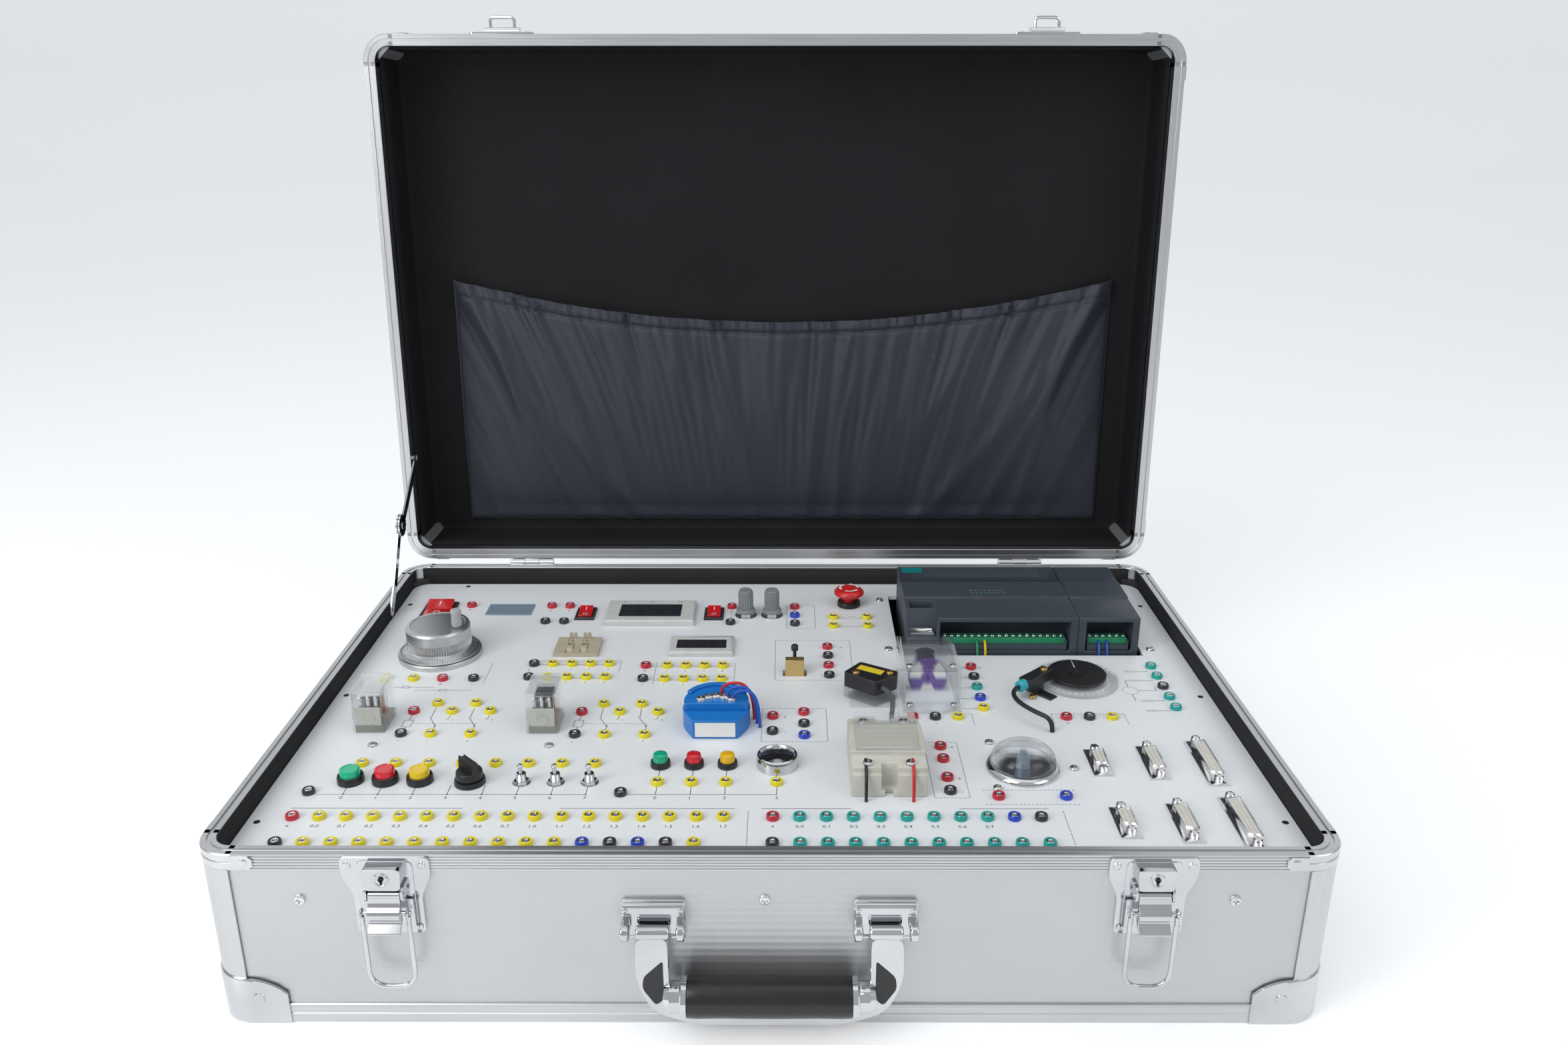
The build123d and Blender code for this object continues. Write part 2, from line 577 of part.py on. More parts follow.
def lid_pocket():
    """Gathered cloth pocket on the lining: folds over a bulged front, hems at the sides and bottom, open at the top."""
    ceiling = LID_Z + LID_CAVITY
    span, steps = POCKET_X1 - POCKET_X0, POCKET_FOLDS * 2
    front = []
    for i in range(steps + 1):
        part = i / steps
        crown = POCKET_BULGE * min(1.0, 5 * part, 5 * (1 - part)) ** 0.5
        fold = POCKET_FOLD if i % 2 else -POCKET_FOLD
        front.append((POCKET_X0 + span * part, ceiling - max(POCKET_T, crown + fold)))
    behind = [(x, z + POCKET_T) for x, z in reversed(front)]
    y_top, y_low = HINGE_Y - POCKET_TOP, HINGE_Y - POCKET_LOW
    cloth = prism_y(front + behind, y_top, y_low)
    cloth += prism_y(front + [(POCKET_X1, ceiling), (POCKET_X0, ceiling)], y_low - POCKET_T, y_low)
    middle = (POCKET_X0 + POCKET_X1) / 2
    hem = ThreePointArc((POCKET_X0, y_top), (middle, y_top + POCKET_SAG), (POCKET_X1, y_top))
    outside = Polyline((POCKET_X1, y_top), (POCKET_X1, y_top - 1), (POCKET_X0, y_top - 1), (POCKET_X0, y_top))
    above = make_face([hem, outside])
    cloth -= Pos(0, 0, ceiling - 3 * POCKET_BULGE) * extrude(above, 4 * POCKET_BULGE)
    save("lid_pocket", lid_pose(cloth))


# Panel

def save_on_plate(name, *shapes):
    """One named node of what stands on the faceplate, drawn with the plate's face at zero height."""
    save(name, *[Pos(0, 0, PLATE_Z) * shape for shape in shapes])


def row(x0, y, pitch, count):
    """Places along X."""
    return [(x0 + pitch * i, y) for i in range(count)]


def column(x, y0, pitch, count):
    """Places from the back to the front."""
    return [(x, y0 - pitch * i) for i in range(count)]


def shifted(places, x, y):
    """Places moved by the middle of the device that they belong to."""
    return [(x + a, y + b) for a, b in places]


def jack(x, y):
    """Raised collar of a safety socket with its hole, in flats."""
    collar = extrude(RegularPolygon(JACK_R / cos(pi / JACK_SIDES), JACK_SIDES), JACK_H)
    collar -= Pos(0, 0, JACK_H / 3) * extrude(RegularPolygon(JACK_HOLE, 3), JACK_H)
    return Pos(x, y, 0) * collar


def jacks():
    """All sockets of the panel, one node for each colour."""
    ins, outs = IN_X0, OUT_X0
    relay_yellow = []
    relay_red, relay_black = [], []
    for x, y in RELAYS:
        relay_red += shifted([(21.2, 14.3)], x, y)
        relay_black += shifted([(21.2, -15.7)], x, y)
        relay_yellow += shifted(row(34.5, 25.4, 25.8, 2) + row(46.7, 14.4, 25.8, 2) + row(40.5, -16.1, 25.9, 2), x, y)
    x_code, x_show = THUMB_X, SHOW_X
    colours = {
        "red": [(ins, ROW_1), (outs, ROW_1), (WHEEL_X + 12, ROW_CODE), (-243.6, 148.9), (DC_OUT_X, 146.7),
                (POT_X, 146.0), (x_show - 38.4, 41.4), (HEAT_X + 24.6, 72.8), (HEAT_X + 24.6, 41.9),
                (TX_X + 36.8, -33.3), (TX_X + 57.5, -27.9), (MOTOR_X + 34.8, 39.5), (93.0, ROW_SENSE),
                (195.3, ROW_SENSE), (SSR_X + 36.9, -72.6), (SSR_X + 36.9, -87.9), (SSR_X + 36.9, -109.8),
                (BEACON_X - 20, -130.4)] + row(-179.0, 147.8, 14.6, 2) + relay_red,
        "black": [(ins, ROW_2), (outs, ROW_2), (ins + 12 * PITCH_IN, ROW_2), (ins + 14 * PITCH_IN, ROW_2),
                  (outs + 10 * PITCH_OUT, ROW_1), (ins, -126.2), (-89.7, -127.3), (WHEEL_X + 33.9, ROW_CODE),
                  (DC_OUT_X, 116.2), (POT_X, 114.1), (x_code - 27.6, 44.1), (x_code - 27.6, 23.1),
                  (x_show - 38.4, 20.7), (HEAT_X + 24.6, 57.7), (HEAT_X + 24.6, 26.4), (TX_X + 36.8, -53.6),
                  (TX_X + 57.5, -43.6), (MOTOR_X + 34.8, 24.2), (108.1, ROW_SENSE), (210.7, ROW_SENSE),
                  (STEP_X + 58.1, 9.8), (SSR_X + 36.9, -124.5)] + row(-179.0, 117.8, 14.6, 2) + relay_black,
        "yellow": row(ins + PITCH_IN, ROW_1, PITCH_IN, 16) + row(ins + PITCH_IN, ROW_2, PITCH_IN, 10)
        + [(ins + 15 * PITCH_IN, ROW_2)] + row(SW_X0, ROW_SW, PITCH_SW, 8)
        + row(LAMP_X0, ROW_LAMP, LAMP_PITCH, 3) + [(BUZZER_X, ROW_LAMP)] + relay_yellow
        + row(WHEEL_X - 28.3, ROW_CODE, 19.6, 2)
        + row(ESTOP_X - 13, 126.2, 26, 2) + row(ESTOP_X - 13, 110.2, 26, 2)
        + row(x_code - 14, 44.1, 13.6, 4) + row(x_code - 14, 23.1, 13.6, 4)
        + row(x_show - 23, 41.4, 13.4, 4) + row(x_show - 23, 20.5, 13.4, 4)
        + [(MOTOR_X + 34.8, -21.6), (123.3, ROW_SENSE), (226.0, ROW_SENSE)],
        "teal": row(outs + PITCH_OUT, ROW_1, PITCH_OUT, 8) + row(outs + PITCH_OUT, ROW_2, PITCH_OUT, 10)
        + [(MOTOR_X + 34.8, 8.8)] + column(STEP_X + 58.1, 41.0, 15.8, 2) + column(STEP_X + 58.1, -5.8, 15.1, 2),
        "blue": [(ins + 11 * PITCH_IN, ROW_2), (ins + 13 * PITCH_IN, ROW_2), (outs + 9 * PITCH_OUT, ROW_1),
                 (POT_X, 129.5), (TX_X + 57.5, -58.8), (MOTOR_X + 34.8, -7.2), (BEACON_X + 20, -130.4)],
    }
    for colour, places in colours.items():
        save_on_plate(f"jacks_{colour}", *[jack(x, y) for x, y in places])


def rocker_hole(x, y, w, reach):
    """Space in a rocker's frame and in the plate under it, wide enough for the tilted rocker."""
    half = w / 2 + GAP
    return box(x - half, x + half, y - reach - ROCKER_PLAY, y + reach + ROCKER_PLAY, -30, 30)


def digit_places():
    """Middles of the two code wheels along X."""
    return [THUMB_X - DIGIT_PITCH / 2, THUMB_X + DIGIT_PITCH / 2]


def digit_hole(x):
    """Slot round a code wheel, through the housing and the plate."""
    half, reach = DIGIT_W / 2 + GAP, DIGIT_R + GAP
    return box(x - half, x + half, DIGIT_Y - reach, DIGIT_Y + reach, -30, 30)


def faceplate():
    """Printed plate with the cut-outs for what reaches through it."""
    x, y = IN_X - PLATE_GAP_X, IN_Y - PLATE_GAP_Y
    plate = rounded(-x, x, -y, y, PLATE_R, -PLATE_T, 0)
    plate -= box(CUT_X0, CUT_X1, CUT_Y0, CUT_Y1, -30, 30)
    for rocker in ROCKERS:
        plate -= rocker_hole(rocker[0], rocker[1], rocker[2], rocker[3])
    for place in digit_places():
        plate -= digit_hole(place)
    slot_y, slot_x = MOTOR_DISC_T / 2 + 1, MOTOR_DISC_R + 1.5
    plate -= block(MOTOR_X, MOTOR_DISC_Y, 2 * slot_x, 2 * slot_y, -30, 30)
    plate -= block(HEAT_X, HEAT_Y, HEAT_SLOT_W, HEAT_SLOT_L, -30, 30)
    save_on_plate("faceplate", plate)


def internal_chassis():
    """Battens on the walls under the faceplate, and the mounting rail on its two risers."""
    z1 = PLATE_Z - PLATE_T
    z0 = z1 - BATTEN_H
    parts = []
    for side in (-1, 1):
        parts.append(block(side * (IN_X - BATTEN_W / 2), 0, BATTEN_W, 2 * (IN_Y - 20), z0, z1))
        parts.append(block(0, side * (IN_Y - BATTEN_W / 2), 2 * (IN_X - 20), BATTEN_W, z0, z1))
    rail_y, top = PLC_Y + PLC_L / 2, PLC_TOP - PLC_DEPTH
    half, foot, t = RAIL_W / 2, RAIL_W / 2 - 5, 1.0
    hat = [(-half, 0), (-half, -t), (-foot - t, -t), (-foot - t, -RAIL_H), (foot + t, -RAIL_H), (foot + t, -t),
           (half, -t), (half, 0), (foot, 0), (foot, t - RAIL_H), (-foot, t - RAIL_H), (-foot, 0)]
    x0, x1 = PLC_X, PLC_X + PLC_W + MODULE_W
    parts.append(prism_x([(rail_y + y, top + z) for y, z in hat], x0, x1))
    for x in (x0 + 10, x1 - 10):
        parts.append(block(x, rail_y, 12, 2 * foot, FLOOR_T, top - RAIL_H))
    save("internal_chassis", *parts)


def rocker(x, y, w, reach):
    """Switch rocker with a dished top, resting with its front end down."""
    rise, low = ROCKER_RISE, -4.0
    side = [(-reach, rise), (-reach + 2, low), (reach - 2, low), (reach, rise), (0, rise - 1.6)]
    shape = prism_x(side, -w / 2, w / 2)
    return Pos(x, y, ROCKER_Z) * Rot(ROCKER_TILT, 0, 0) * shape


def rockers():
    """Main switch and the two supply switches."""
    for name, place in zip(("main", "supply", "output"), ROCKERS):
        save_on_plate(f"rocker_{name}", rocker(*place))


def push_buttons():
    """Three sprung caps, each over its travel."""
    cap = drum(0, 0, [(PUSH_H - PUSH_CAP, PUSH_R), (PUSH_H - 0.8, PUSH_R), (PUSH_H, PUSH_R - 0.8)])
    for i, colour in enumerate(("green", "red", "yellow")):
        save_on_plate(f"push_{colour}", Pos(PUSH_X0 + PUSH_PITCH * i, PUSH_Y, 0) * cap)


def selector():
    """Rotary selector with its finger bar, resting towards the upper left."""
    knob = drum(0, 0, [(SELECT_BASE_H + GAP, SELECT_R - 1), (SELECT_H, SELECT_R - 1.4)])
    bar = [(-2.6, SELECT_H), (2.6, SELECT_H), (1.9, SELECT_BAR_H), (-1.9, SELECT_BAR_H)]
    knob += prism_y(bar, -SELECT_R + 1.2, SELECT_R - 1.2)
    save_on_plate("selector_knob", Pos(SELECT_X, SELECT_Y, 0) * Rot(0, 0, 45) * knob)


def toggles():
    """Three bat levers, each leaning to the front in its bushing."""
    for i, place in enumerate(row(TOGGLE_X0, TOGGLE_Y, TOGGLE_PITCH, 3)):
        low, high = TOGGLE_TAIL - TOGGLE_PIVOT, TOGGLE_TIP - TOGGLE_PIVOT
        bat = drum(0, 0, [(low, TOGGLE_R), (high - 1, TOGGLE_R * 1.6), (high, TOGGLE_R)], 8)
        save_on_plate(f"toggle_lever_{i + 1}", Pos(place[0], place[1], TOGGLE_PIVOT) * Rot(TOGGLE_TILT, 0, 0) * bat)


def control_bezels():
    """Black collars, bases and frames that the buttons, lamps, selector and rockers sit in."""
    parts = []
    for x, y in row(PUSH_X0, PUSH_Y, PUSH_PITCH, 3):
        bezel = drum(x, y, [(0, PUSH_BEZEL_R), (PUSH_BEZEL_H, PUSH_BEZEL_R)])
        parts.append(bezel - drum(x, y, [(PUSH_H - PUSH_CAP - PUSH_GO - GAP, PUSH_R + GAP), (PUSH_BEZEL_H + 1, PUSH_R + GAP)]))
    for x, y in row(LAMP_X0, LAMP_Y, LAMP_PITCH, 3):
        parts.append(drum(x, y, [(0, LAMP_R + 1.3), (LAMP_BASE_H, LAMP_R + 1.3)]))
    parts.append(drum(SELECT_X, SELECT_Y, [(0, SELECT_R), (SELECT_BASE_H, SELECT_R)]))
    base = drum(ESTOP_X, ESTOP_Y, [(0, ESTOP_BASE_R), (ESTOP_BASE_H, ESTOP_BASE_R)])
    neck = ESTOP_NECK_R + GAP
    parts.append(base - drum(ESTOP_X, ESTOP_Y, [(0.2, neck), (ESTOP_H, neck)]))
    for x, y, w, reach in ROCKERS:
        frame = block(x, y, w + 2 * ROCKER_WALL, 2 * reach + 2 * ROCKER_PLAY + 1.6 * ROCKER_WALL, 0, 2.2)
        parts.append(frame - rocker_hole(x, y, w, reach))
    probe = [(-PLATE_T, 1.3), (HEAT_TIP - 5, 1.3), (HEAT_TIP - 4, 2.5), (HEAT_TIP - 1, 2.5), (HEAT_TIP, 1.7)]
    parts.append(drum(HEAT_X, HEAT_Y - HEAT_SLOT_L / 2 + HEAT_L + 2 * GAP + 1.3, probe, 8))
    save_on_plate("control_bezels", *parts)


def estop():
    """Mushroom button with its neck in the base."""
    z, r = ESTOP_H - 6, ESTOP_R
    neck = drum(ESTOP_X, ESTOP_Y, [(z - 6, ESTOP_NECK_R), (z, ESTOP_NECK_R)])
    cap = drum(ESTOP_X, ESTOP_Y, [(z, r - 1), (z + 1.5, r), (z + 3, r), (ESTOP_H, r - 2.2)], 16)
    save_on_plate("estop_button", neck + cap)


def pot_knobs():
    """Two ribbed knobs, each with its skirt."""
    for i, place in enumerate(row(KNOB_X0, KNOB_Y, KNOB_PITCH, 2)):
        knob = drum(place[0], place[1], [(NUT_H + GAP, KNOB_SKIRT_R), (NUT_H + 2.7, KNOB_SKIRT_R - 0.8)])
        knob += fluted(place[0], place[1], NUT_H + 2.7, KNOB_H, KNOB_R, 0.6, 10)
        save_on_plate(f"pot_knob_{i + 1}", knob)


def encoder():
    """Hand wheel of the encoder over its fixed flange, with a finger handle that spins on its own pin."""
    flange = drum(WHEEL_X, WHEEL_Y, [(0, WHEEL_FLANGE_R), (WHEEL_FLANGE_H - 3, WHEEL_FLANGE_R)], 16)
    save_on_plate("encoder_flange", flange)
    low = WHEEL_FLANGE_H - 3 + GAP
    wheel = drum(WHEEL_X, WHEEL_Y, [(low, WHEEL_FLANGE_R - 1.5), (WHEEL_FLANGE_H, WHEEL_FLANGE_R - 2.5)], 16)
    wheel += fluted(WHEEL_X, WHEEL_Y, WHEEL_FLANGE_H, WHEEL_H, WHEEL_R, 0.7, 22)
    x, y = WHEEL_X + FINGER_X, WHEEL_Y + FINGER_Y
    wheel += rod(x, y, WHEEL_H, FINGER_TOP - 2.5, PIN_R)
    save_on_plate("handwheel", wheel)
    grip = drum(x, y, [(WHEEL_H + GAP, 2.8), (WHEEL_H + 3, FINGER_R), (FINGER_TOP - 4, 3.4),
                       (FINGER_TOP - 1.5, FINGER_R), (FINGER_TOP, 2.8)], 12)
    save_on_plate("finger_handle", grip - rod(x, y, 0, FINGER_TOP - 2.2, PIN_R + PIN_FIT))


def code_switch():
    """Housing of the two digit thumb wheel switch, and its wheels."""
    housing = block(THUMB_X, THUMB_Y, THUMB_W, THUMB_D, 0, THUMB_H)
    windows = DIGIT_Y + DIGIT_R + GAP + 1.5
    for x in digit_places():
        housing -= digit_hole(x)
        housing -= box(x - 3, x + 3, windows, THUMB_Y + THUMB_D / 2 - 2.2, THUMB_H - 0.8, THUMB_H + 1)
    save_on_plate("code_switch_housing", housing)
    for i, x in enumerate(digit_places()):
        ribs = Pos(x - DIGIT_W / 2, DIGIT_Y, THUMB_H + 1.3 - DIGIT_R) * Rot(0, 90, 0)
        save_on_plate(f"digit_wheel_{i + 1}", ribs * fluted(0, 0, 0, DIGIT_W, DIGIT_R, 0.7, 12))


def meters():
    """Bezels of the supply meter and of the digit display, each with its window let in."""
    windows = [block(AC_X, AC_Y, AC_W, AC_L, 0, 0.8)]
    cases = []
    for x, y, w, d, h, glass_w, glass_d in METERS:
        case = block(x, y, w, d, 0, h)
        case = chamfer(case.faces().sort_by(Axis.Z)[-1].edges(), 1.2)
        cases.append(case - block(x, y, glass_w, glass_d, h - 1.6, h + 1))
        windows.append(block(x, y, glass_w, glass_d, h - 1.6, h - 0.4))
    save_on_plate("meter_cases", *cases)
    return windows


def relays():
    """Works of the two relays: base, coil, yoke and armature, and the clear covers over them."""
    cores, covers = [], []
    for x, y in RELAYS:
        cores.append(block(x, y, RELAY_W - 2.6, RELAY_L - 2.6, 0, 5))
        cores.append(drum(x, y + 3.5, [(5, 6), (RELAY_H - 9, 6)], 12))
        yoke = block(x, y - 4.5, 14, 1.6, 5, RELAY_H - 7) + block(x, y + 2, 12, 14.6, RELAY_H - 9, RELAY_H - 7)
        cores.append(yoke)
        cores.append(block(x, y - 9, 13, 3, 5, RELAY_H - 11))
        cover = block(x, y, RELAY_W, RELAY_L, 0, RELAY_H) - block(x, y, RELAY_W - 2, RELAY_L - 2, -1, RELAY_H - 1)
        covers.append(chamfer(cover.faces().sort_by(Axis.Z)[-1].edges(), 0.8))
    save_on_plate("relay_cores", *cores)
    return covers


def solid_state_relay():
    """Block with its end notches and terminal steps; its clear terminal cover is returned."""
    half_w, half_l, base = SSR_W / 2, SSR_L / 2, 4.0
    side = [(-half_l, 0), (-half_l, SSR_H - 10), (-half_l + 2, SSR_H - 10), (-half_l + 2, SSR_H - SSR_STEP),
            (-half_l + 15, SSR_H - SSR_STEP), (-half_l + 15, SSR_H - 2.5), (half_l - 15, SSR_H - 2.5),
            (half_l - 15, SSR_H - SSR_STEP), (half_l - 2, SSR_H - SSR_STEP), (half_l - 2, SSR_H - 10), (half_l, SSR_H - 10),
            (half_l, 0)]
    body = prism_x(side, -half_w, half_w)
    for end in (-1, 1):
        body -= block(0, end * half_l, 9.5, 15, base, SSR_H)
        body -= block(0, end * half_l, 5, 9, -1, SSR_H)
    save_on_plate("ssr_body", Pos(SSR_X, SSR_Y, 0) * body)
    cover = [(-half_l + 15 + GAP, SSR_H - 2.5), (half_l - 15, SSR_H - 2.5), (half_l - 15, SSR_H - SSR_STEP),
             (half_l - 4, SSR_H - SSR_STEP), (half_l - 4, SSR_H), (-half_l + 15 + GAP, SSR_H)]
    return Pos(SSR_X, SSR_Y, 0) * prism_x(cover, 3 - half_w, half_w - 3)


def transmitter():
    """Round head transmitter with a flat front, and a rimmed deck at the back round its hole."""
    r = TX_R
    puck = drum(0, 0, [(0, r), (TX_H - 7, r)], 20) & box(-r, r, 2 - r, r, 0, TX_H)
    deck = drum(0, 0, [(TX_H - 7, r - 0.8), (TX_H - 2, r - 0.8)], 20) & box(-r, r, -6, r, 0, TX_H)
    rim = drum(0, 0, [(TX_H - 2, r - 0.8), (TX_H, r - 0.8)], 20) & box(-r, r, 8, r, 0, TX_H)
    rim -= drum(0, 0, [(TX_H - 2, r - 4), (TX_H, r - 4)], 20)
    body = puck + deck + rim - drum(0, -1, [(TX_H - 9, 3), (TX_H, 3)], 8)
    save_on_plate("transmitter_body", Pos(TX_X, TX_Y, 0) * body)


def beacon():
    """Signal lamp: chromed ring with a dished reflector and bulb; the clear dome over it is returned."""
    x, y, r, h = BEACON_X, BEACON_Y, BEACON_R, BEACON_H
    ring = drum(x, y, [(0, r), (2, r), (4, r - 2)], 16) - drum(x, y, [(1.6, 7), (4.1, r - 3)], 16)
    bulb = drum(x, y, [(1.6, 4), (6, 4), (h - 4, 3)], 10)
    save_on_plate("lamp_holder", ring, bulb)
    dome = drum(x, y, [(4, r - 2.2), (h - 6, r - 3), (h - 1, r - 8), (h, r - 14)], 16)
    return dome - drum(x, y, [(4, r - 3.8), (h - 6.6, r - 4.6), (h - 2.2, r - 8.8)], 16)


def buzzer():
    """Chromed buzzer with a groove round its sound hole."""
    x, y, r, h = BUZZER_X, BUZZER_Y, BUZZER_R, BUZZER_H
    can = drum(x, y, [(0, r), (h - 1.5, r), (h, r - 1.5)], 16)
    groove = drum(x, y, [(h - 1.2, r * 0.6), (h + 1, r * 0.6)]) - drum(x, y, [(h - 1.2, r * 0.42), (h + 1, r * 0.42)])
    save_on_plate("buzzer", can - groove - drum(x, y, [(h - 2, 2), (h + 1, 2)], 8))


def indicator_lenses():
    """Three signal lamp lenses on their collars."""
    lens = drum(0, 0, [(LAMP_BASE_H, LAMP_R), (LAMP_H - 1.2, LAMP_R), (LAMP_H, LAMP_R - 1.4)])
    save_on_plate("indicator_lenses", *[Pos(x, y, 0) * lens for x, y in row(LAMP_X0, LAMP_Y, LAMP_PITCH, 3)])


def serial_socket(x, y, length):
    """D connector with its flange, shell, insert and two hexagonal posts."""
    shell, half = length - 14, SERIAL_W / 2 - 2
    outline = [(-half, -shell / 2 + 1.5), (half, -shell / 2), (half, shell / 2), (-half, shell / 2 - 1.5)]
    part = block(0, 0, SERIAL_W, length, 0, 1) + prism(outline, 1, 6)
    part -= prism([(a * 0.85, b * 0.96) for a, b in outline], 5, 7)
    for end in (-1, 1):
        part += Pos(0, end * (length / 2 - 3.3), 1) * extrude(RegularPolygon(2.8, 6), 4.5)
    return Pos(x, y, 0) * part


def serial_sockets():
    """Two rows of three D connectors, and the port on the controller's low shelf."""
    parts = []
    for x, length in SERIALS:
        for y in SERIAL_Y:
            parts.append(serial_socket(x, y, length))
    shelf = PLC_SHELF_Z - PLATE_Z
    port = Pos(PLC_X + SHELF_W / 2, PLC_Y + 9, shelf) * Rot(0, 0, 90)
    parts.append(port * (block(0, 0, 9, 17, 0, 3) - block(0, 0, 7, 15, 2, 4)))
    save_on_plate("serial_sockets", *parts)


def sensors():
    """Light barrier on its clear block and inductive sensor on a foot, both held by screws."""
    head = prism(LASER_OUTLINE, LASER_BASE_H, LASER_H)
    bar = box(-PROX_L / 2, PROX_L / 2, -4.5, 4.5, PROX_LOW, PROX_LOW + 8)
    bar += box(-4, 4, -16, 4.5, 0, 1.2)
    bar += box(-4, 4, -4.5, 4.5, 0, PROX_LOW)
    nose = bar_x(0, PROX_LOW + 4, -PROX_L / 2 - PROX_NOSE, -PROX_L / 2, 4.0)
    turn = Pos(PROX_X, PROX_Y, 0) * Rot(0, 0, PROX_TURN)
    save_on_plate("sensors", head, turn * bar, turn * nose)
    return prism(LASER_OUTLINE, 0, LASER_BASE_H)


def drive_motor():
    """Motor with its disc in a clear housing, and the stub shaft of the stepper; the clear parts are returned."""
    z = MOTOR_Z
    can = drum(0, 0, [(0, MOTOR_R), (20, MOTOR_R)])
    can = Pos(MOTOR_X, MOTOR_DISC_Y + 25, z) * Rot(90, 0, 0) * can
    can += bar_y(MOTOR_X, z, MOTOR_DISC_Y - MOTOR_DISC_T / 2, MOTOR_DISC_Y + 5, PIN_R)
    can += block(MOTOR_X, MOTOR_DISC_Y + 15, 2 * MOTOR_R, 14, 0, z)
    stub = drum(STEP_X, STEP_Y, [(0, 5), (STEP_LOW - GAP, 5)])
    stub += rod(STEP_X, STEP_Y, 0, STEP_LOW + STEP_T, PIN_R)
    save_on_plate("motor_body", can, stub)
    hub = MOTOR_DISC_Y + MOTOR_DISC_T / 2
    disc = drum(0, 0, [(0, MOTOR_DISC_R), (MOTOR_DISC_T, MOTOR_DISC_R)], 16)
    disc += drum(0, 0, [(-3, 3.5), (0, 3.5)], 12)
    disc = Pos(MOTOR_X, hub, z) * Rot(90, 0, 0) * disc
    save_on_plate("motor_disc", disc - bar_y(MOTOR_X, z, hub - 20, hub + 20, PIN_R + PIN_FIT))
    plate = drum(STEP_X, STEP_Y, [(STEP_LOW, STEP_R), (STEP_LOW + STEP_T, STEP_R)], 24)
    save_on_plate("stepper_disc", plate - rod(STEP_X, STEP_Y, 0, 30, PIN_R + PIN_FIT))
    y0, y1, t = MOTOR_Y - MOTOR_BOX_L / 2, MOTOR_Y + MOTOR_BOX_L / 2, 2.8
    half = MOTOR_BOX_W / 2
    housing = box(MOTOR_X - half, MOTOR_X + half, y0, y1, 0, MOTOR_BOX_H)
    housing -= box(MOTOR_X - half + t, MOTOR_X + half - t, y0 + t, y1 - t, -1, MOTOR_BOX_H - t)
    housing += box(MOTOR_X - half, MOTOR_X + half, y0 - 12, y0, 0, 3)
    ring = drum(STEP_X, STEP_Y, [(0, STEP_RING_R), (2.5, STEP_RING_R)], 20)
    ring -= drum(STEP_X, STEP_Y, [(0, STEP_R + 3), (2.5, STEP_R + 3)], 20)
    return [housing, ring]


def heater():
    """Brass block in its slot, on a flange under the plate."""
    y0 = HEAT_Y - HEAT_SLOT_L / 2 + GAP
    body = box(HEAT_X - HEAT_W / 2, HEAT_X + HEAT_W / 2, y0, y0 + HEAT_L, -PLATE_T, HEAT_H)
    body += block(HEAT_X, HEAT_Y, HEAT_SLOT_W + 6, HEAT_SLOT_L + 6, -PLATE_T - 3, -PLATE_T)
    save_on_plate("heater_block", body)


def panel_fasteners():
    """Bushings and nuts of the toggles and knobs."""
    parts = []
    for x, y in row(TOGGLE_X0, TOGGLE_Y, TOGGLE_PITCH, 3):
        nut = Pos(x, y, 0) * extrude(RegularPolygon(5, 6), 2.2)
        bush = drum(x, y, [(0, 3.1), (TOGGLE_BUSH_H, 3.1)], 8)
        bore = drum(x, y, [(TOGGLE_TAIL - 0.7, TOGGLE_BORE), (TOGGLE_BUSH_H, TOGGLE_BORE)], 8)
        parts.append(nut + bush - bore)
    for x, y in row(KNOB_X0, KNOB_Y, KNOB_PITCH, 2):
        parts.append(Pos(x, y, 0) * extrude(RegularPolygon(7, 6), NUT_H))
    save_on_plate("panel_fasteners", *parts)


# Controller

def controller_unit(x0, w, bay_x0, bay_x1):
    """One housing on the rail: terminal bay under a lintel at the front and a raised band across the top."""
    x1, y0, y1 = x0 + w, PLC_Y, PLC_Y + PLC_L
    unit = box(x0, x1, y0, y1, PLC_TOP - PLC_DEPTH, PLC_TOP - 1.2)
    unit += box(x0, x1, y0 + 37, y0 + 67, PLC_TOP - 1.2, PLC_TOP)
    unit -= box(bay_x0, bay_x1, y0 - 1, y0 + BAY_D, BAY_Z0, BAY_Z1)
    half = RAIL_W / 2 + GAP
    rail_y = (y0 + y1) / 2
    return unit - box(x0 - 1, x1 + 1, rail_y - half, rail_y + half, 0, PLC_TOP - PLC_DEPTH)


def controller():
    """Main unit with its low port shelf, vents and terminals, and the expansion unit beside it."""
    split = PLC_X + PLC_W
    main = controller_unit(PLC_X, PLC_W, PLC_X + SHELF_W + 1.5, split - 5.5)
    shelf_x = PLC_X + SHELF_W - 0.5
    main -= box(PLC_X - 1, shelf_x, PLC_Y - 1, PLC_Y + 17, PLC_SHELF_Z, PLC_TOP + 1)
    main -= box(PLC_X + 3, shelf_x - 2, PLC_Y + 19, PLC_Y + 33, PLC_TOP - 8, PLC_TOP + 1)
    for i in range(VENTS):
        y = PLC_Y + PLC_L - 8 - 4.2 * i
        main -= box(PLC_X + 24, split - 14, y, y + 2, PLC_TOP - 4, PLC_TOP)
    module = controller_unit(split + GAP, MODULE_W - GAP, split + 6, split + MODULE_W - 5)
    parts = [main, module]
    for x0, x1 in ((PLC_X + SHELF_W + 3, split - 7), (split + 7.5, split + MODULE_W - 6.5)):
        strip = box(x0, x1, PLC_Y + 2, PLC_Y + 14, BAY_Z0, BAY_Z0 + 8)
        strip -= box(x0 + 1, x1 - 1, PLC_Y + 1, PLC_Y + 6, BAY_Z0 + 4, BAY_Z0 + 9)
        parts.append(strip)
    save("controller_units", *parts)


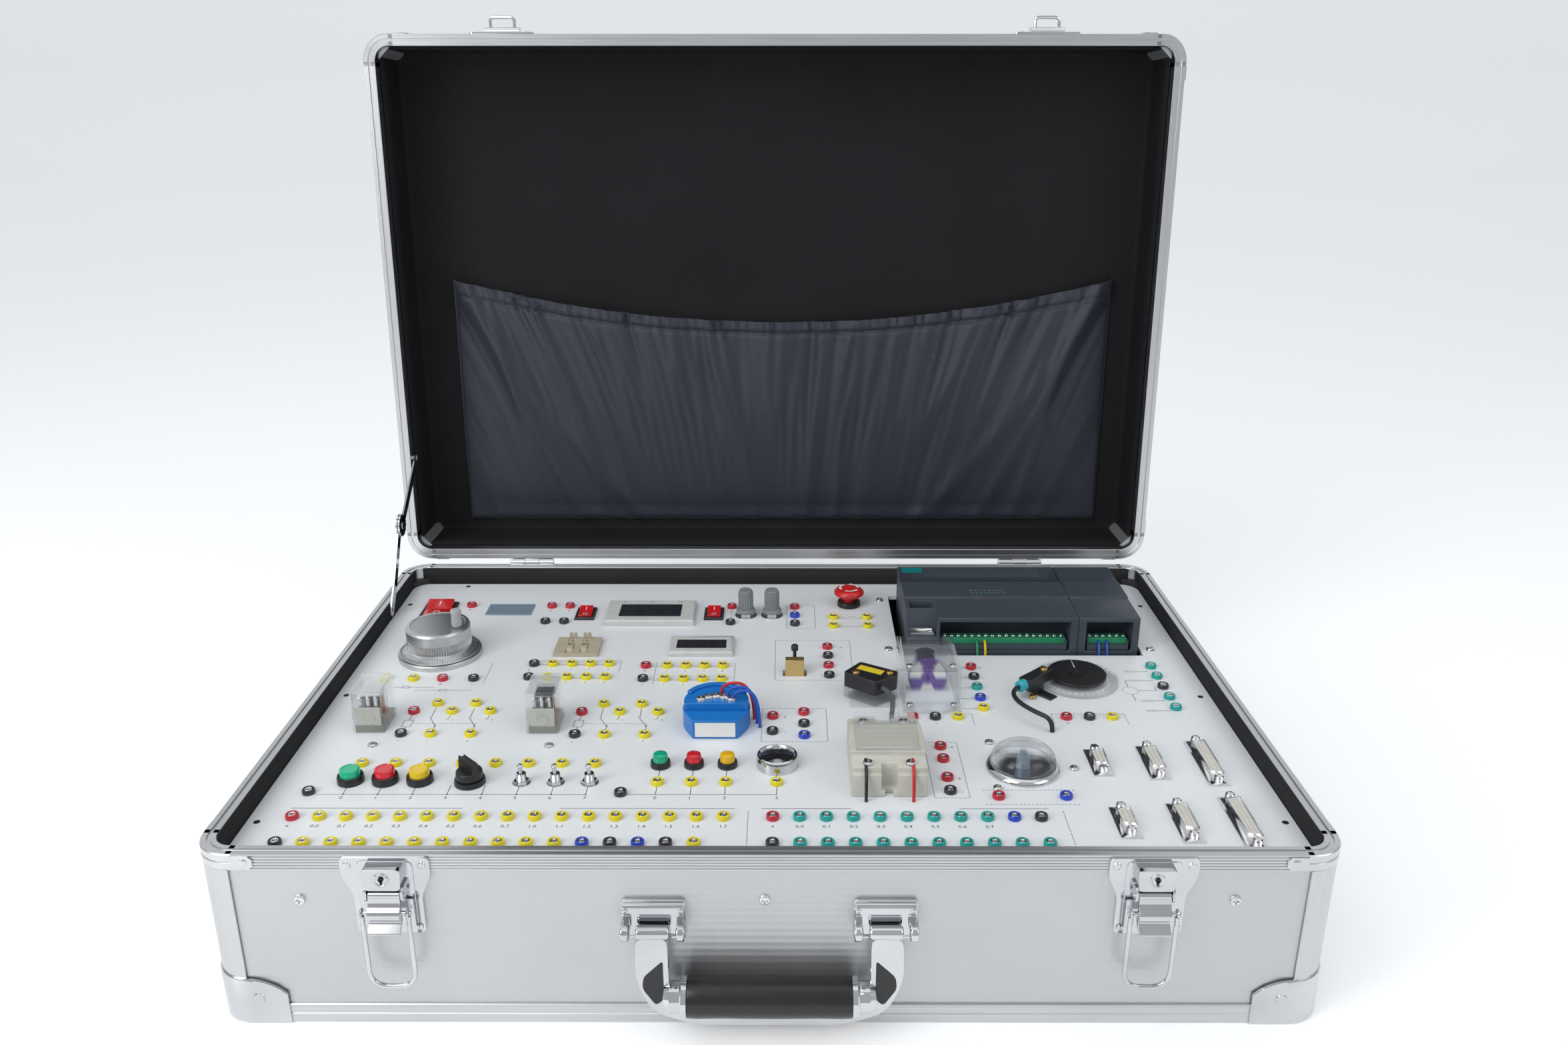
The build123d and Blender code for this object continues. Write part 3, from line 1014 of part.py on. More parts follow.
def panel_wiring():
    """Leads that stay on the panel: controller, relay, transmitter and sensor leads."""
    parts = []
    z = BAY_Z0 + 6 - PLATE_Z
    for x in CONTROL_LEADS:
        parts.append(lead([(x, PLC_Y + 6, z), (x, PLC_Y - 2, z), (x, PLC_Y - 2, -12)], 5, LEAD_R))
    front, top = SSR_Y - SSR_L / 2, SSR_H - SSR_STEP + LEAD_R + GAP
    for x in (SSR_X - 14, SSR_X + 14):
        parts.append(lead([(x, front + 9, top), (x, front - 4.7, top), (x, front - 4.7, 0)], 6, LEAD_R))
    for i in range(3):
        x, y = TX_X + 3 + 4 * i, TX_Y + 9 - 5.5 * i
        out, high = TX_R + 2.5 + 2 * i, TX_H + 6
        places = [(x, y, TX_H - 2), (x, y, high), (TX_X + out, y - 3, high), (TX_X + out, y - 3, 0)]
        parts.append(lead(places, 4.5, LEAD_R))
    places = [(74, -16.2, 13), (78.5, -22.8, 13), (79.5, -36, 13), (78, -47, 11), (78, -47, 0)]
    parts.append(lead(places, [6, 14, 5], CABLE_R))
    nose = PROX_L / 2 + PROX_NOSE
    x, y = PROX_X - nose * cos(PROX_TURN * pi / 180), PROX_Y - nose * sin(PROX_TURN * pi / 180)
    places = [(x, y, PROX_LOW + 4), (x - 5.1, y - 4.8, PROX_LOW + 4), (x - 5, y - 19, 10), (x + 4, y - 34, 10),
              (x + 15, y - 43, 9), (x + 15, y - 43, 0)]
    parts.append(lead(places, [6, 14, 14, 5], CABLE_R))
    save_on_plate("panel_wiring", *parts)


os.makedirs("parts", exist_ok=True)
base_shell()
base_frame()
case_hardware()
internal_chassis()
lid_shell()
lid_frame()
lid_hardware()
lid_feet()
lid_pocket()
lid_stay()
latches()
carry_handle()
faceplate()
jacks()
control_bezels()
rockers()
push_buttons()
selector()
toggles()
estop()
pot_knobs()
encoder()
code_switch()
transmitter()
buzzer()
indicator_lenses()
serial_sockets()
heater()
panel_fasteners()
controller()
panel_wiring()
clear = meters() + relays() + drive_motor()
clear += [solid_state_relay(), beacon(), sensors()]
save_on_plate("clear_covers", *clear)
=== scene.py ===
import bpy, bmesh
from math import atan2, cos, exp, pi, radians, sin, sqrt
from mathutils import Matrix, Vector, noise


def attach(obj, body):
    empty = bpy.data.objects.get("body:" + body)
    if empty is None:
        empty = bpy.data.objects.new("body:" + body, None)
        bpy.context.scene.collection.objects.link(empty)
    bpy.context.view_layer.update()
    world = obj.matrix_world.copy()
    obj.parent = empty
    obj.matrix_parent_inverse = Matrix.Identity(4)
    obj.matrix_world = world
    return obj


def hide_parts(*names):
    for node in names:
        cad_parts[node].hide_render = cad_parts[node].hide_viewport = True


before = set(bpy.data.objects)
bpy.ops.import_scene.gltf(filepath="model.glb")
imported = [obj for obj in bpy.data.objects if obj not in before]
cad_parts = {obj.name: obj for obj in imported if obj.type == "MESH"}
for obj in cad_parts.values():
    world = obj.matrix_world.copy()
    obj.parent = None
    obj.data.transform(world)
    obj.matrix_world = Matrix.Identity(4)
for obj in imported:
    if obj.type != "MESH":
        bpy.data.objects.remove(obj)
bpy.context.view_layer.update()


# Camera, floor and light
# The place and lens were solved from the case's corners in the photograph. The studio is pale: a white sky, a
# large soft lamp and a small low one at the front left, a weaker one at the right and a wide one above.

lens = bpy.data.cameras.new("lens")
lens.sensor_width = 36.0
lens.lens = 28.605
lens.clip_start = 0.01
camera = bpy.data.objects.new("camera", lens)
camera.location = (0.00879, -0.76914, 0.50298)
camera.rotation_euler = (radians(70.034), 0.0, 0.0018)
bpy.context.collection.objects.link(camera)
bpy.context.scene.camera = camera
bpy.context.scene.view_settings.view_transform = "Standard"

sky = bpy.data.worlds.new("sky")
sky.use_nodes = True
sky.node_tree.nodes["Background"].inputs["Color"].default_value = (0.96, 0.98, 1.0, 1.0)
sky.node_tree.nodes["Background"].inputs["Strength"].default_value = 0.55
bpy.context.scene.world = sky

for lamp_name, place, turn_deg, size, power in (
        ("key", (-1.1, -1.2, 1.9), (42, 0, -42), 1.3, 15.0),
        ("fill", (1.5, -0.9, 1.4), (50, 0, 58), 1.2, 6.0),
        ("strip", (-1.2, -1.0, 0.8), (73, 0, -45), 0.6, 7.0),
        ("top", (0.1, 0.1, 1.7), (0, 0, 0), 1.5, 4.0)):
    lamp = bpy.data.lights.new(lamp_name, "AREA")
    lamp.size = size
    lamp.energy = power
    light = bpy.data.objects.new(lamp_name, lamp)
    light.location = place
    light.rotation_euler = [radians(a) for a in turn_deg]
    bpy.context.collection.objects.link(light)


class Shade:
    """A value, colour or vector in a finish. Sums written on it become Math nodes."""

    def __init__(self, tree, socket=None):
        self.tree = tree
        self.socket = socket

    def node(self, kind, settings=None, values=None, out=0):
        """Add any node: its settings first, then the values or links of its sockets."""
        new = self.tree.nodes.new(kind)
        for key, value in (settings or {}).items():
            setattr(new, key, value)
        for key, value in (values or {}).items():
            if isinstance(value, Shade):
                self.tree.links.new(value.socket, new.inputs[key])
            else:
                new.inputs[key].default_value = value
        return Shade(self.tree, new.outputs[out])

    def sum(self, operation, a, b=0.0):
        """Math node on one or two values."""
        return self.node("ShaderNodeMath", {"operation": operation}, {0: a, 1: b})

    def __add__(self, other):
        return self.sum("ADD", self, other)

    def __radd__(self, other):
        return self.sum("ADD", other, self)

    def __sub__(self, other):
        return self.sum("SUBTRACT", self, other)

    def __rsub__(self, other):
        return self.sum("SUBTRACT", other, self)

    def __mul__(self, other):
        return self.sum("MULTIPLY", self, other)

    def __rmul__(self, other):
        return self.sum("MULTIPLY", other, self)

    def __abs__(self):
        return self.sum("ABSOLUTE", self)

    def __lt__(self, other):
        return self.sum("LESS_THAN", self, other)

    def __gt__(self, other):
        return self.sum("GREATER_THAN", self, other)

    def wave(self, pitch):
        """Sine of a length in metres, one turn each pitch in millimetres."""
        return self.sum("SINE", self * (2000 * pi / pitch))

    def mixed(self, a, b):
        """Colour a where this value is 0 and b where it is 1."""
        return self.node("ShaderNodeMix", {"data_type": "RGBA"}, {0: self, 6: a, 7: b}, 2)

    def place(self, scale=(1, 1, 1)):
        """Object coordinates, stretched."""
        seen = self.node("ShaderNodeTexCoord", None, None, "Object")
        return self.node("ShaderNodeMapping", None, {"Vector": seen, "Scale": scale})

    def parts(self):
        """X, Y and Z of a vector."""
        split = self.node("ShaderNodeSeparateXYZ", None, {0: self})
        return [Shade(self.tree, out) for out in split.socket.node.outputs]

    def noise(self, place, scale, detail=2.0, rough=0.5):
        """Cloudy value from 0 to 1."""
        return self.node("ShaderNodeTexNoise", None,
                         {"Vector": place, "Scale": scale, "Detail": detail, "Roughness": rough})

    def raised(self, height, depth_mm, strength=1.0):
        """Bump from a height of 0 to 1 that stands for a depth."""
        return self.node("ShaderNodeBump", None,
                         {"Strength": strength, "Distance": depth_mm / 1000, "Height": height})


def finish(name, tone, rough, metal, build, **fixed):
    """A material: constant values on its shader, and what build(start, tone) returns by socket name."""
    made = bpy.data.materials.new(name)
    made.use_nodes = True
    sockets = made.node_tree.nodes["Principled BSDF"].inputs
    sockets["Base Color"].default_value = (*tone, 1.0)
    sockets["Roughness"].default_value = rough
    sockets["Metallic"].default_value = metal
    for key, value in fixed.items():
        sockets[key.replace("_", " ")].default_value = value
    made.diffuse_color = (*tone, 1.0)
    for key, shade in build(Shade(made.node_tree), (*tone, 1.0)).items():
        made.node_tree.links.new(shade.socket, sockets[key])
    return made


def uneven(low, more, scale, detail=2.0, clouds=None, grain=None):
    """Build function for a gloss that varies, with clouds of a second tone or a raised grain where given."""
    def build(s, tone):
        look = {"Roughness": low + more * s.noise(s.place(), scale, detail)}
        if clouds:
            size, second = clouds
            look["Base Color"] = s.noise(s.place(), size).mixed(tone, (*second, 1))
        if grain:
            size, fine, deep, strength = grain
            look["Normal"] = s.raised(s.noise(s.place(), size, fine), deep, strength)
        return look
    return build


floor_mesh = bpy.data.meshes.new("studio_floor")
sweep = [(-6, 0), (3, 0), (3.8, 0.12), (4.6, 0.5), (5.2, 1.2), (5.4, 2.2), (5.4, 7)]
floor_mesh.from_pydata([(x, y, z) for y, z in sweep for x in (-9, 9)], [],
                       [(2 * i, 2 * i + 1, 2 * i + 3, 2 * i + 2) for i in range(len(sweep) - 1)])
floor_mesh.shade_smooth()
floor_mesh.materials.append(finish("studio_white", (0.90, 0.91, 0.92), 0.6, 0.0, uneven(0.5, 0.1, 2.0),
                                   Emission_Color=(1, 1, 1, 1), Emission_Strength=0.2))
studio_floor = bpy.data.objects.new("studio_floor", floor_mesh)
bpy.context.collection.objects.link(studio_floor)


# Case panels
# Thin plywood faced outside with a silver embossed sheet and inside with charcoal felt, set into aluminium
# profiles. The two CAD shells stay. The base's finish has both faces, parted at the wall's inner face.

DIAMOND = 9.0


def embossed(x, y, z):
    """Height of the sheet's diamonds, which all walls share, from three lengths in metres."""
    front = (x + z).wave(DIAMOND) * (x - z).wave(DIAMOND)
    return front + (y + z).wave(DIAMOND) * (y - z).wave(DIAMOND)


def silver_outside(s, tone):
    """Embossed silver sheet."""
    where = s.place()
    x, y, z = where.parts()
    fine = s.noise(s.place((900, 900, 900)), 1.0, 3.0)
    cloud = s.noise(where, 14.0, 3.0)
    height = 0.5 + 0.22 * embossed(x, y, z) + 0.12 * fine
    return {"Base Color": cloud.mixed(tone, (0.60, 0.61, 0.62, 1)),
            "Roughness": 0.33 + 0.14 * cloud + 0.05 * fine, "Normal": s.raised(height, 0.22, 0.6)}


def silver_and_felt(s, tone):
    """Silver sheet outside, and felt within the walls' inner faces and above the floor."""
    where = s.place()
    x, y, z = where.parts()
    inside = (abs(x) < 0.3021) * (abs(y) < 0.1996) * (z > 0.004)
    look = silver_outside(s, tone)
    fuzz = s.noise(where, 1500.0, 4.0, 0.7)
    pile = fuzz.mixed((0.018, 0.018, 0.02, 1), (0.07, 0.07, 0.075, 1))
    flat = {"Base Color": inside.mixed(look["Base Color"], pile), "Metallic": 0.85 - 0.85 * inside,
            "Roughness": look["Roughness"] + 0.6 * inside}
    bump = 0.5 + 0.22 * embossed(x, y, z) * (1 - inside) + 0.4 * fuzz * inside
    flat["Normal"] = s.raised(bump, 0.25, 0.6)
    return flat


def dress(material, *nodes):
    """Give CAD nodes that stay a finish."""
    for node in nodes:
        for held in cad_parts[node].material_slots:
            held.material = material


SILVER = (0.50, 0.51, 0.52)
dress(finish("silver_sheet_and_felt", SILVER, 0.4, 0.85, silver_and_felt), "base_shell")
dress(finish("silver_sheet", SILVER, 0.4, 0.85, silver_outside), "lid_shell")


# Ribbed rims, corner posts and edging
# Anodised extrusions with fine ribs run along the four walls. Quarter round posts stand in the corners, and
# an angle profile runs round the bottom of the base and the top of the lid. All are riveted to the panels.

MM = 0.001
WIDTH, DEPTH, BASE, LID = 620.0, 415.0, 111.0, 65.0
ROUND, LID_FOOT, HINGE_Y, OPEN = 20.0, 111.3, 210.65, 92.95
lid_pose = (Matrix.Translation((0, HINGE_Y, BASE)) @ Matrix.Rotation(-radians(OPEN), 4, "X")
            @ Matrix.Translation((0, -HINGE_Y, -BASE)))
lid_turned = lid_pose @ Matrix.Translation((0, 0, LID_FOOT + LID)) @ Matrix.Diagonal((1, 1, -1, 1))


def brushed(scale, second):
    """Build function for metal brushed along the axis with the smallest scale."""
    def build(s, tone):
        streak = s.noise(s.place(scale), 1.0, 4.0, 0.6)
        cloud = s.noise(s.place(), 9.0)
        return {"Base Color": (0.6 * streak + 0.4 * cloud).mixed(tone, (*second, 1)),
                "Roughness": 0.22 + 0.2 * streak, "Normal": s.raised(streak, 0.02, 0.35)}
    return build


anodised, anodised_side, anodised_post = [
    finish(name, (0.46, 0.47, 0.48), 0.3, 1.0, brushed(scale, (0.70, 0.71, 0.72)))
    for name, scale in (("anodised_profile", (12, 900, 900)), ("anodised_side_profile", (900, 12, 900)),
                        ("anodised_post", (700, 700, 10)))]


def run(bm, rows, closed=False, caps=True):
    """Skin rows of corners that each have as many places."""
    made = [[bm.verts.new(p) for p in row] for row in rows]
    pairs = list(zip(made, made[1:])) + ([(made[-1], made[0])] if closed else [])
    for a, b in pairs:
        for i in range(len(a)):
            bm.faces.new((a[i - 1], a[i], b[i], b[i - 1]))
    if caps and not closed:
        bm.faces.new(made[0])
        bm.faces.new(list(reversed(made[-1])))


def on_body(name, mesh, body, node, smooth):
    """An object of a mesh, smooth below an angle, that rides on a body and may stand for a CAD node."""
    mesh.shade_smooth()
    mesh.set_sharp_from_angle(angle=radians(smooth))
    made = bpy.data.objects.new(name, mesh)
    bpy.context.collection.objects.link(made)
    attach(made, body)
    if node:
        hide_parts(node)
    return made


def piece(name, bm, body, material, node=None, pose=None, smooth=30, bevel=0.0, clean=True):
    """Make mesh work in millimetres a piece, its edges broken by a bevel."""
    if pose is not None:
        bm.transform(pose)
    bm.transform(Matrix.Scale(MM, 4))
    if clean:
        bmesh.ops.remove_doubles(bm, verts=bm.verts, dist=1e-6)
        bmesh.ops.recalc_face_normals(bm, faces=bm.faces)
    mesh = bpy.data.meshes.new(name)
    bm.to_mesh(mesh)
    bm.free()
    mesh.materials.append(material)
    made = on_body(name, mesh, body, node, smooth)
    if bevel:
        rounding = made.modifiers.new("edges", "BEVEL")
        rounding.width = bevel / 1000
        rounding.segments = 2
        rounding.limit_method = "ANGLE"
        rounding.angle_limit = radians(38)
    return made


def flat_piece(name, bm, body, material):
    """Marks or labels a hair above a face, left as single faces."""
    piece(name, bm, body, material, clean=False)


TURN_STEPS = 10


def corner_arc(inset):
    """Places round the front right corner, drawn in by inset, from the front to the side."""
    r = ROUND - inset
    places = []
    for i in range(TURN_STEPS + 1):
        a = pi / 2 * i / TURN_STEPS
        places.append((WIDTH / 2 - ROUND + r * sin(a), -DEPTH / 2 + ROUND - r * cos(a)))
    return places


def four(bm, make):
    """The front right piece made at each of the four corners."""
    for sx in (1, -1):
        for sy in (1, -1):
            made = bmesh.new()
            make(made)
            made.transform(Matrix.Diagonal((sx, sy, 1, 1)))
            if sx * sy < 0:
                bmesh.ops.reverse_faces(made, faces=made.faces)
            spare = bpy.data.meshes.new("spare")
            made.to_mesh(spare)
            made.free()
            bm.from_mesh(spare)
            bpy.data.meshes.remove(spare)


# profiles: distance in from the wall's face, and height under the rim's top or over the edging's foot
RIM = [(0.3, 0)]
for i in range(5):
    z = -1.6 - 7.2 * i / 4
    RIM += [(0, z + 0.75), (0.0, z + 0.45), (0.55, z + 0.2), (0.55, z - 0.2), (0.0, z - 0.45)]
RIM += [(0, -10), (8.5, -10), (8.5, -0.3), (8.2, 0), (5.4, 0), (5.2, -0.8), (3.4, -0.8), (3.2, 0)]
EDGING = [(0, 0.6), (0.6, 0), (13, 0), (13, 1.0), (1.0, 1.0), (1.0, 13), (0.2, 13), (-0.35, 12.4),
          (-0.35, 11.4), (0, 10.8), (0.0, 7.2), (0.35, 6.9), (0.35, 6.3), (0, 6.0)]


def along_walls(bm_x, bm_y, section, level):
    """Straight profiles, front and back in one mesh and the sides in the other."""
    half_x, half_y = WIDTH / 2, DEPTH / 2
    for side in (1, -1):
        run(bm_x, [[(x, side * (half_y - i), level + z) for i, z in section]
                   for x in (ROUND - half_x, half_x - ROUND)])
        run(bm_y, [[(side * (half_x - i), y, level + z) for i, z in section]
                   for y in (ROUND - half_y, half_y - ROUND)])


def corner_pieces(height):
    """Front right corner: post with a bead at both edges, foot of the edging and its turn."""
    def make(bm):
        bead, low, high = 0.55, 13, height - 10
        skin = list(zip(corner_arc(0), corner_arc(1.0)))
        run(bm, [[(*o, low), (*o, high), (*i, high), (*i, low)] for o, i in skin])
        for (x, y), _ in (skin[0], skin[-1]):
            run(bm, [[(x + bead * cos(k * pi / 4), y + bead * sin(k * pi / 4), z) for k in range(8)]
                     for z in (low, high)])
        foot = ((0, 0.6), (0.6, 0), (13, 0), (13, 1), (1, 1), (1, 13), (0, 13))
        turns = [[(*place, level) for place in corner_arc(inset)] for inset, level in foot]
        run(bm, list(zip(*turns)))
    return make


for body, height, pose, node in (("base", BASE, None, "base_frame"), ("lid", LID, lid_turned, "lid_frame")):
    long_way, side_way, posts = bmesh.new(), bmesh.new(), bmesh.new()
    along_walls(long_way, side_way, RIM, height)
    along_walls(long_way, side_way, EDGING, 0)
    four(posts, corner_pieces(height))
    piece(body + "_profiles", long_way, body, anodised, node=node, pose=pose, smooth=25)
    piece(body + "_side_profiles", side_way, body, anodised_side, pose=pose, smooth=25)
    piece(body + "_posts", posts, body, anodised_post, pose=pose, smooth=25)


# Corner castings and ball caps
# Die cast pieces join the rims in the corners, with a tab riveted to each wall. Pressed steel caps cover the
# corners of the bottom and of the lid's top, their edge rolled on a ball round the corner.

def cast_metal(s, tone):
    """Tumbled die casting."""
    fine = s.noise(s.place(), 700.0, 4.0)
    cloud = s.noise(s.place(), 40.0)
    return {"Base Color": cloud.mixed(tone, (0.72, 0.73, 0.74, 1)), "Roughness": 0.16 + 0.2 * cloud,
            "Normal": s.raised(fine, 0.05, 0.4)}


casting_metal = finish("cast_corner_metal", (0.54, 0.55, 0.56), 0.2, 1.0, cast_metal)
chrome = finish("chrome", (0.46, 0.47, 0.49), 0.08, 1.0,
                uneven(0.04, 0.12, 60.0, 4.0, (25.0, (0.74, 0.75, 0.77))))


def casting(height):
    """Front right casting: a rounded band over the turned rim with a tab along each wall."""
    def make(bm):
        section = [(-0.25, -9.6), (-0.25, -5.6), (0.35, -5.2), (0.35, -4.8), (-0.25, -4.4), (-0.25, -0.6),
                   (0.3, 0.0), (3.2, 0.0), (3.4, -0.7), (5.2, -0.7), (5.4, 0.0), (8.2, 0.0), (8.5, -0.4),
                   (8.5, -10), (0.2, -10)]
        x, y = WIDTH / 2 - ROUND, DEPTH / 2 - ROUND
        rows = [[(x - 3, -DEPTH / 2 + i, height + z) for i, z in section]]
        for j in range(13):
            a = pi / 2 * j / 12
            rows.append([(x + (ROUND - i) * sin(a), -y - (ROUND - i) * cos(a), height + z)
                         for i, z in section])
        rows.append([(WIDTH / 2 - i, -y + 3, height + z) for i, z in section])
        run(bm, rows)
        tab = [(-3, -1.2), (-12.4, -1.2), (-14.4, -3.2), (-14.4, -6.8), (-12.4, -8.8), (-3, -8.8)]
        run(bm, [[(x + a, -DEPTH / 2 - t, height + z) for a, z in tab] for t in (0.9, -0.2)])
        run(bm, [[(WIDTH / 2 + t, -y - a, height + z) for a, z in tab] for t in (0.9, -0.2)])
        head = [(0, 0.7), (1.4, 0.62), (2.4, 0.3), (2.8, 0)]
        turn(bm, x - 9.5, -DEPTH / 2 - 0.8, height - 5, head, 16, "Y", -1)
        turn(bm, WIDTH / 2 + 0.8, -y + 9.5, height - 5, head, 16, "X", 1)
    return make


def turn(bm, x, y, z, profile, sides=24, way="Z", sense=1, closed=False):
    """Revolve pairs of radius and height about an axis through a place."""
    rows = []
    for r, h in profile:
        row = []
        for i in range(sides):
            a, b, c = r * cos(2 * pi * i / sides), r * sin(2 * pi * i / sides), h * sense
            row.append({"Z": (x + a, y + b, z + c), "X": (x + c, y + a, z + b),
                        "Y": (x + a, y + c, z + b)}[way])
        rows.append(row)
    run(bm, rows, closed)


def ball_cap(bm):
    """Front right cap as a sheet over the corner, its inner face against the profiles."""
    x, y = WIDTH / 2 - ROUND, DEPTH / 2 - ROUND
    thick, reach, ball = 1.1, 22, 30
    path = [(x - reach + reach * i / 6, -y - ROUND, -reach + reach * i / 6) for i in range(6)]
    path += [(x + ROUND * sin(pi / 2 * i / 10), -y - ROUND * cos(pi / 2 * i / 10), 0) for i in range(11)]
    path += [(x + ROUND, -y + reach * i / 6, reach * i / 6) for i in range(1, 7)]
    rows = []
    for px, py, run_out in path:
        out = Vector((max(0, px - x), min(0, py + y), 0)).normalized()
        top = sqrt(max(9.0, ball ** 2 - run_out ** 2))
        inner = Vector((px, py, 0)) - out * 11
        side = [(thick, 0.9), (thick, top * 0.5), (thick, top - 0.6), (thick - 0.5, top), (-0.1, top)]
        rows.append([(inner.x, inner.y, 0.4), (inner.x, inner.y, -thick + 0.9),
                     (px - out.x, py - out.y, -0.2)] + [(px + out.x * g, py + out.y * g, z) for g, z in side]
                    + [(px - out.x * 0.1, py - out.y * 0.1, 0.4)])
    run(bm, rows)
    head = [(0, 1.0), (2.2, 0.95), (3.1, 0.75), (3.5, 0)]
    turn(bm, x - 6, -DEPTH / 2 - 1, 17.5, head, 18, "Y", -1)
    turn(bm, WIDTH / 2 + 1, -y + 6, 17.5, head, 18, "X", 1)


for body, height, pose in (("base", BASE, None), ("lid", LID, lid_turned)):
    cast, caps = bmesh.new(), bmesh.new()
    four(cast, casting(height))
    four(caps, ball_cap)
    piece(body + "_castings", cast, body, casting_metal, pose=pose)
    piece(body + "_ball_caps", caps, body, chrome, pose=pose, smooth=40)


# Hinges, latch plates and handle brackets
# Pressed steel, riveted to the walls: two nickel plated butt hinges on the back, a chromed draw latch plate
# with a keyed housing near each end of the front, and two brackets with barrels for the handle between them.

FRONT = -DEPTH / 2
LATCHES = (-205.0, 205.0)
HINGES = (-206.0, 206.0)
HANDLE_PINS = (-62.7, 62.7)
HANDLE_LEVEL = 68.2


def softened(corners, r, steps=4):
    """Outline with its corners rounded, as far as its sides allow."""
    places = []
    for i, here in enumerate(corners):
        here = Vector(here)
        before, after = Vector(corners[i - 1]) - here, Vector(corners[(i + 1) % len(corners)]) - here
        reach = min(r, before.length / 2.01, after.length / 2.01)
        a, b = here + before.normalized() * reach, here + after.normalized() * reach
        places += [tuple(a.lerp(here, t).lerp(here.lerp(b, t), t))
                   for t in (k / steps for k in range(steps + 1))]
    return places


def slab(bm, outline, low, high, plane="XY"):
    """Prism over an outline, between two levels across its plane."""
    rows = []
    for level in (low, high):
        rows.append([{"XY": (a, b, level), "XZ": (a, level, b), "YZ": (level, a, b)}[plane]
                     for a, b in outline])
    run(bm, rows)


def oblong(x0, x1, y0, y1):
    """Four corners of an upright oblong."""
    return [(x0, y0), (x1, y0), (x1, y1), (x0, y1)]


def block(bm, x0, x1, y0, y1, z0, z1):
    """Plain block between limits in X, Y and Z."""
    slab(bm, oblong(x0, x1, y0, y1), z0, z1)


def rivet(bm, x, y, z, r, way="Y", sense=-1, tall=0.9):
    """Domed head on a face."""
    turn(bm, x, y, z, [(r, -0.4), (r, 0.1), (r * 0.85, tall * 0.6), (r * 0.5, tall * 0.93), (0.01, tall)],
         14, way, sense)


def frame_along(path):
    """A pair of cross directions for each place of a path, carried along without twist."""
    ways = [(path[min(i + 1, len(path) - 1)] - path[max(i - 1, 0)]).normalized() for i in range(len(path))]
    across = ways[0].orthogonal().normalized()
    pairs = []
    for way in ways:
        across = (across - way * across.dot(way)).normalized()
        pairs.append((across, way.cross(across)))
    return pairs


def tube(bm, path, r, sides=12):
    """Round bar along a path."""
    path = [Vector(p) for p in path]
    rows = []
    for here, (a, b) in zip(path, frame_along(path)):
        rows.append([here + (a * cos(2 * pi * k / sides) + b * sin(2 * pi * k / sides)) * r
                     for k in range(sides)])
    run(bm, rows)


def bent(points, r, steps=6):
    """Path through places with its bends rounded."""
    points = [Vector(p) for p in points]
    path = [points[0]]
    for before, here, after in zip(points, points[1:], points[2:]):
        reach = min(r, (before - here).length / 2.02, (after - here).length / 2.02)
        a, b = here + (before - here).normalized() * reach, here + (after - here).normalized() * reach
        path += [a.lerp(here, t).lerp(here.lerp(b, t), t) for t in (k / steps for k in range(steps + 1))]
    return path + [points[-1]]


def leaf(bm, x, up):
    """Hinge leaf with its knuckles, three screws and the pin's ends."""
    y0, near, far = DEPTH / 2, BASE + up * 3.2, BASE + up * 23.0
    slab(bm, softened(oblong(x - 18, x + 18, near, far), 3), y0, y0 + 1.5, "XZ")
    spans = [(-5.9, 5.9)] if up > 0 else [(-18, -6.3), (6.3, 18)]
    for a, b in spans:
        turn(bm, x + a, HINGE_Y, BASE, [(2.9, 0), (2.9, b - a)], 20, "X")
        block(bm, x + a, x + b, y0, y0 + 1.5, min(near, BASE), max(near, BASE))
    if up < 0:
        turn(bm, x - 18.6, HINGE_Y, BASE, [(1.3, 0), (1.3, 37.2)], 12, "X")
    for dx in (-11, 0, 11):
        rivet(bm, x + dx, y0 + 1.5, BASE + up * (17 if dx else 11), 2.3, "Y", 1, 0.8)


def latch_plate(bm, x):
    """Winged plate with the lock's housing, its keyhole, side lugs and rivets."""
    wings = [(x - 24, 110), (x + 24, 110), (x + 24, 98), (x + 18.5, 86),
             (x + 18.5, 62), (x - 18.5, 62), (x - 18.5, 86), (x - 24, 98)]
    slab(bm, softened(wings, 3), FRONT - 1.5, FRONT + 1, "XZ")
    slab(bm, softened(oblong(x - 15, x + 15, 108, 66), 4), FRONT - 2.1, FRONT - 1.4, "XZ")
    housing = [(x - 10.5, 107), (x + 10.5, 107), (x + 9.5, 94), (x - 9.5, 94)]
    slab(bm, softened(housing, 2.5), FRONT - 8.6, FRONT - 2, "XZ")
    lock = [(4.3, 0), (4.3, 0.5), (3.9, 0.75), (3.3, 0.75), (3.1, 0.3), (0.01, 0.3)]
    turn(bm, x, FRONT - 8.5, 101, lock, 24, "Y", -1)
    lug = [(FRONT - 1.5, 95), (FRONT - 7.5, 95), (FRONT - 8.6, 92), (FRONT - 8.6, 87.5),
           (FRONT - 6, 85.8), (FRONT - 1.5, 84)]
    for side in (-1, 1):
        slab(bm, softened(lug, 1.2, 3), x + side * 9.0, x + side * 10.5, "YZ")
        rivet(bm, x + side * 20, FRONT - 1.5, 105.2, 2.3)
        rivet(bm, x + side * 15.6, FRONT - 2.0, 66.2, 1.8)
    turn(bm, x - 11.2, FRONT - 6, 90, [(1.15, 0), (1.15, 22.4)], 12, "X")


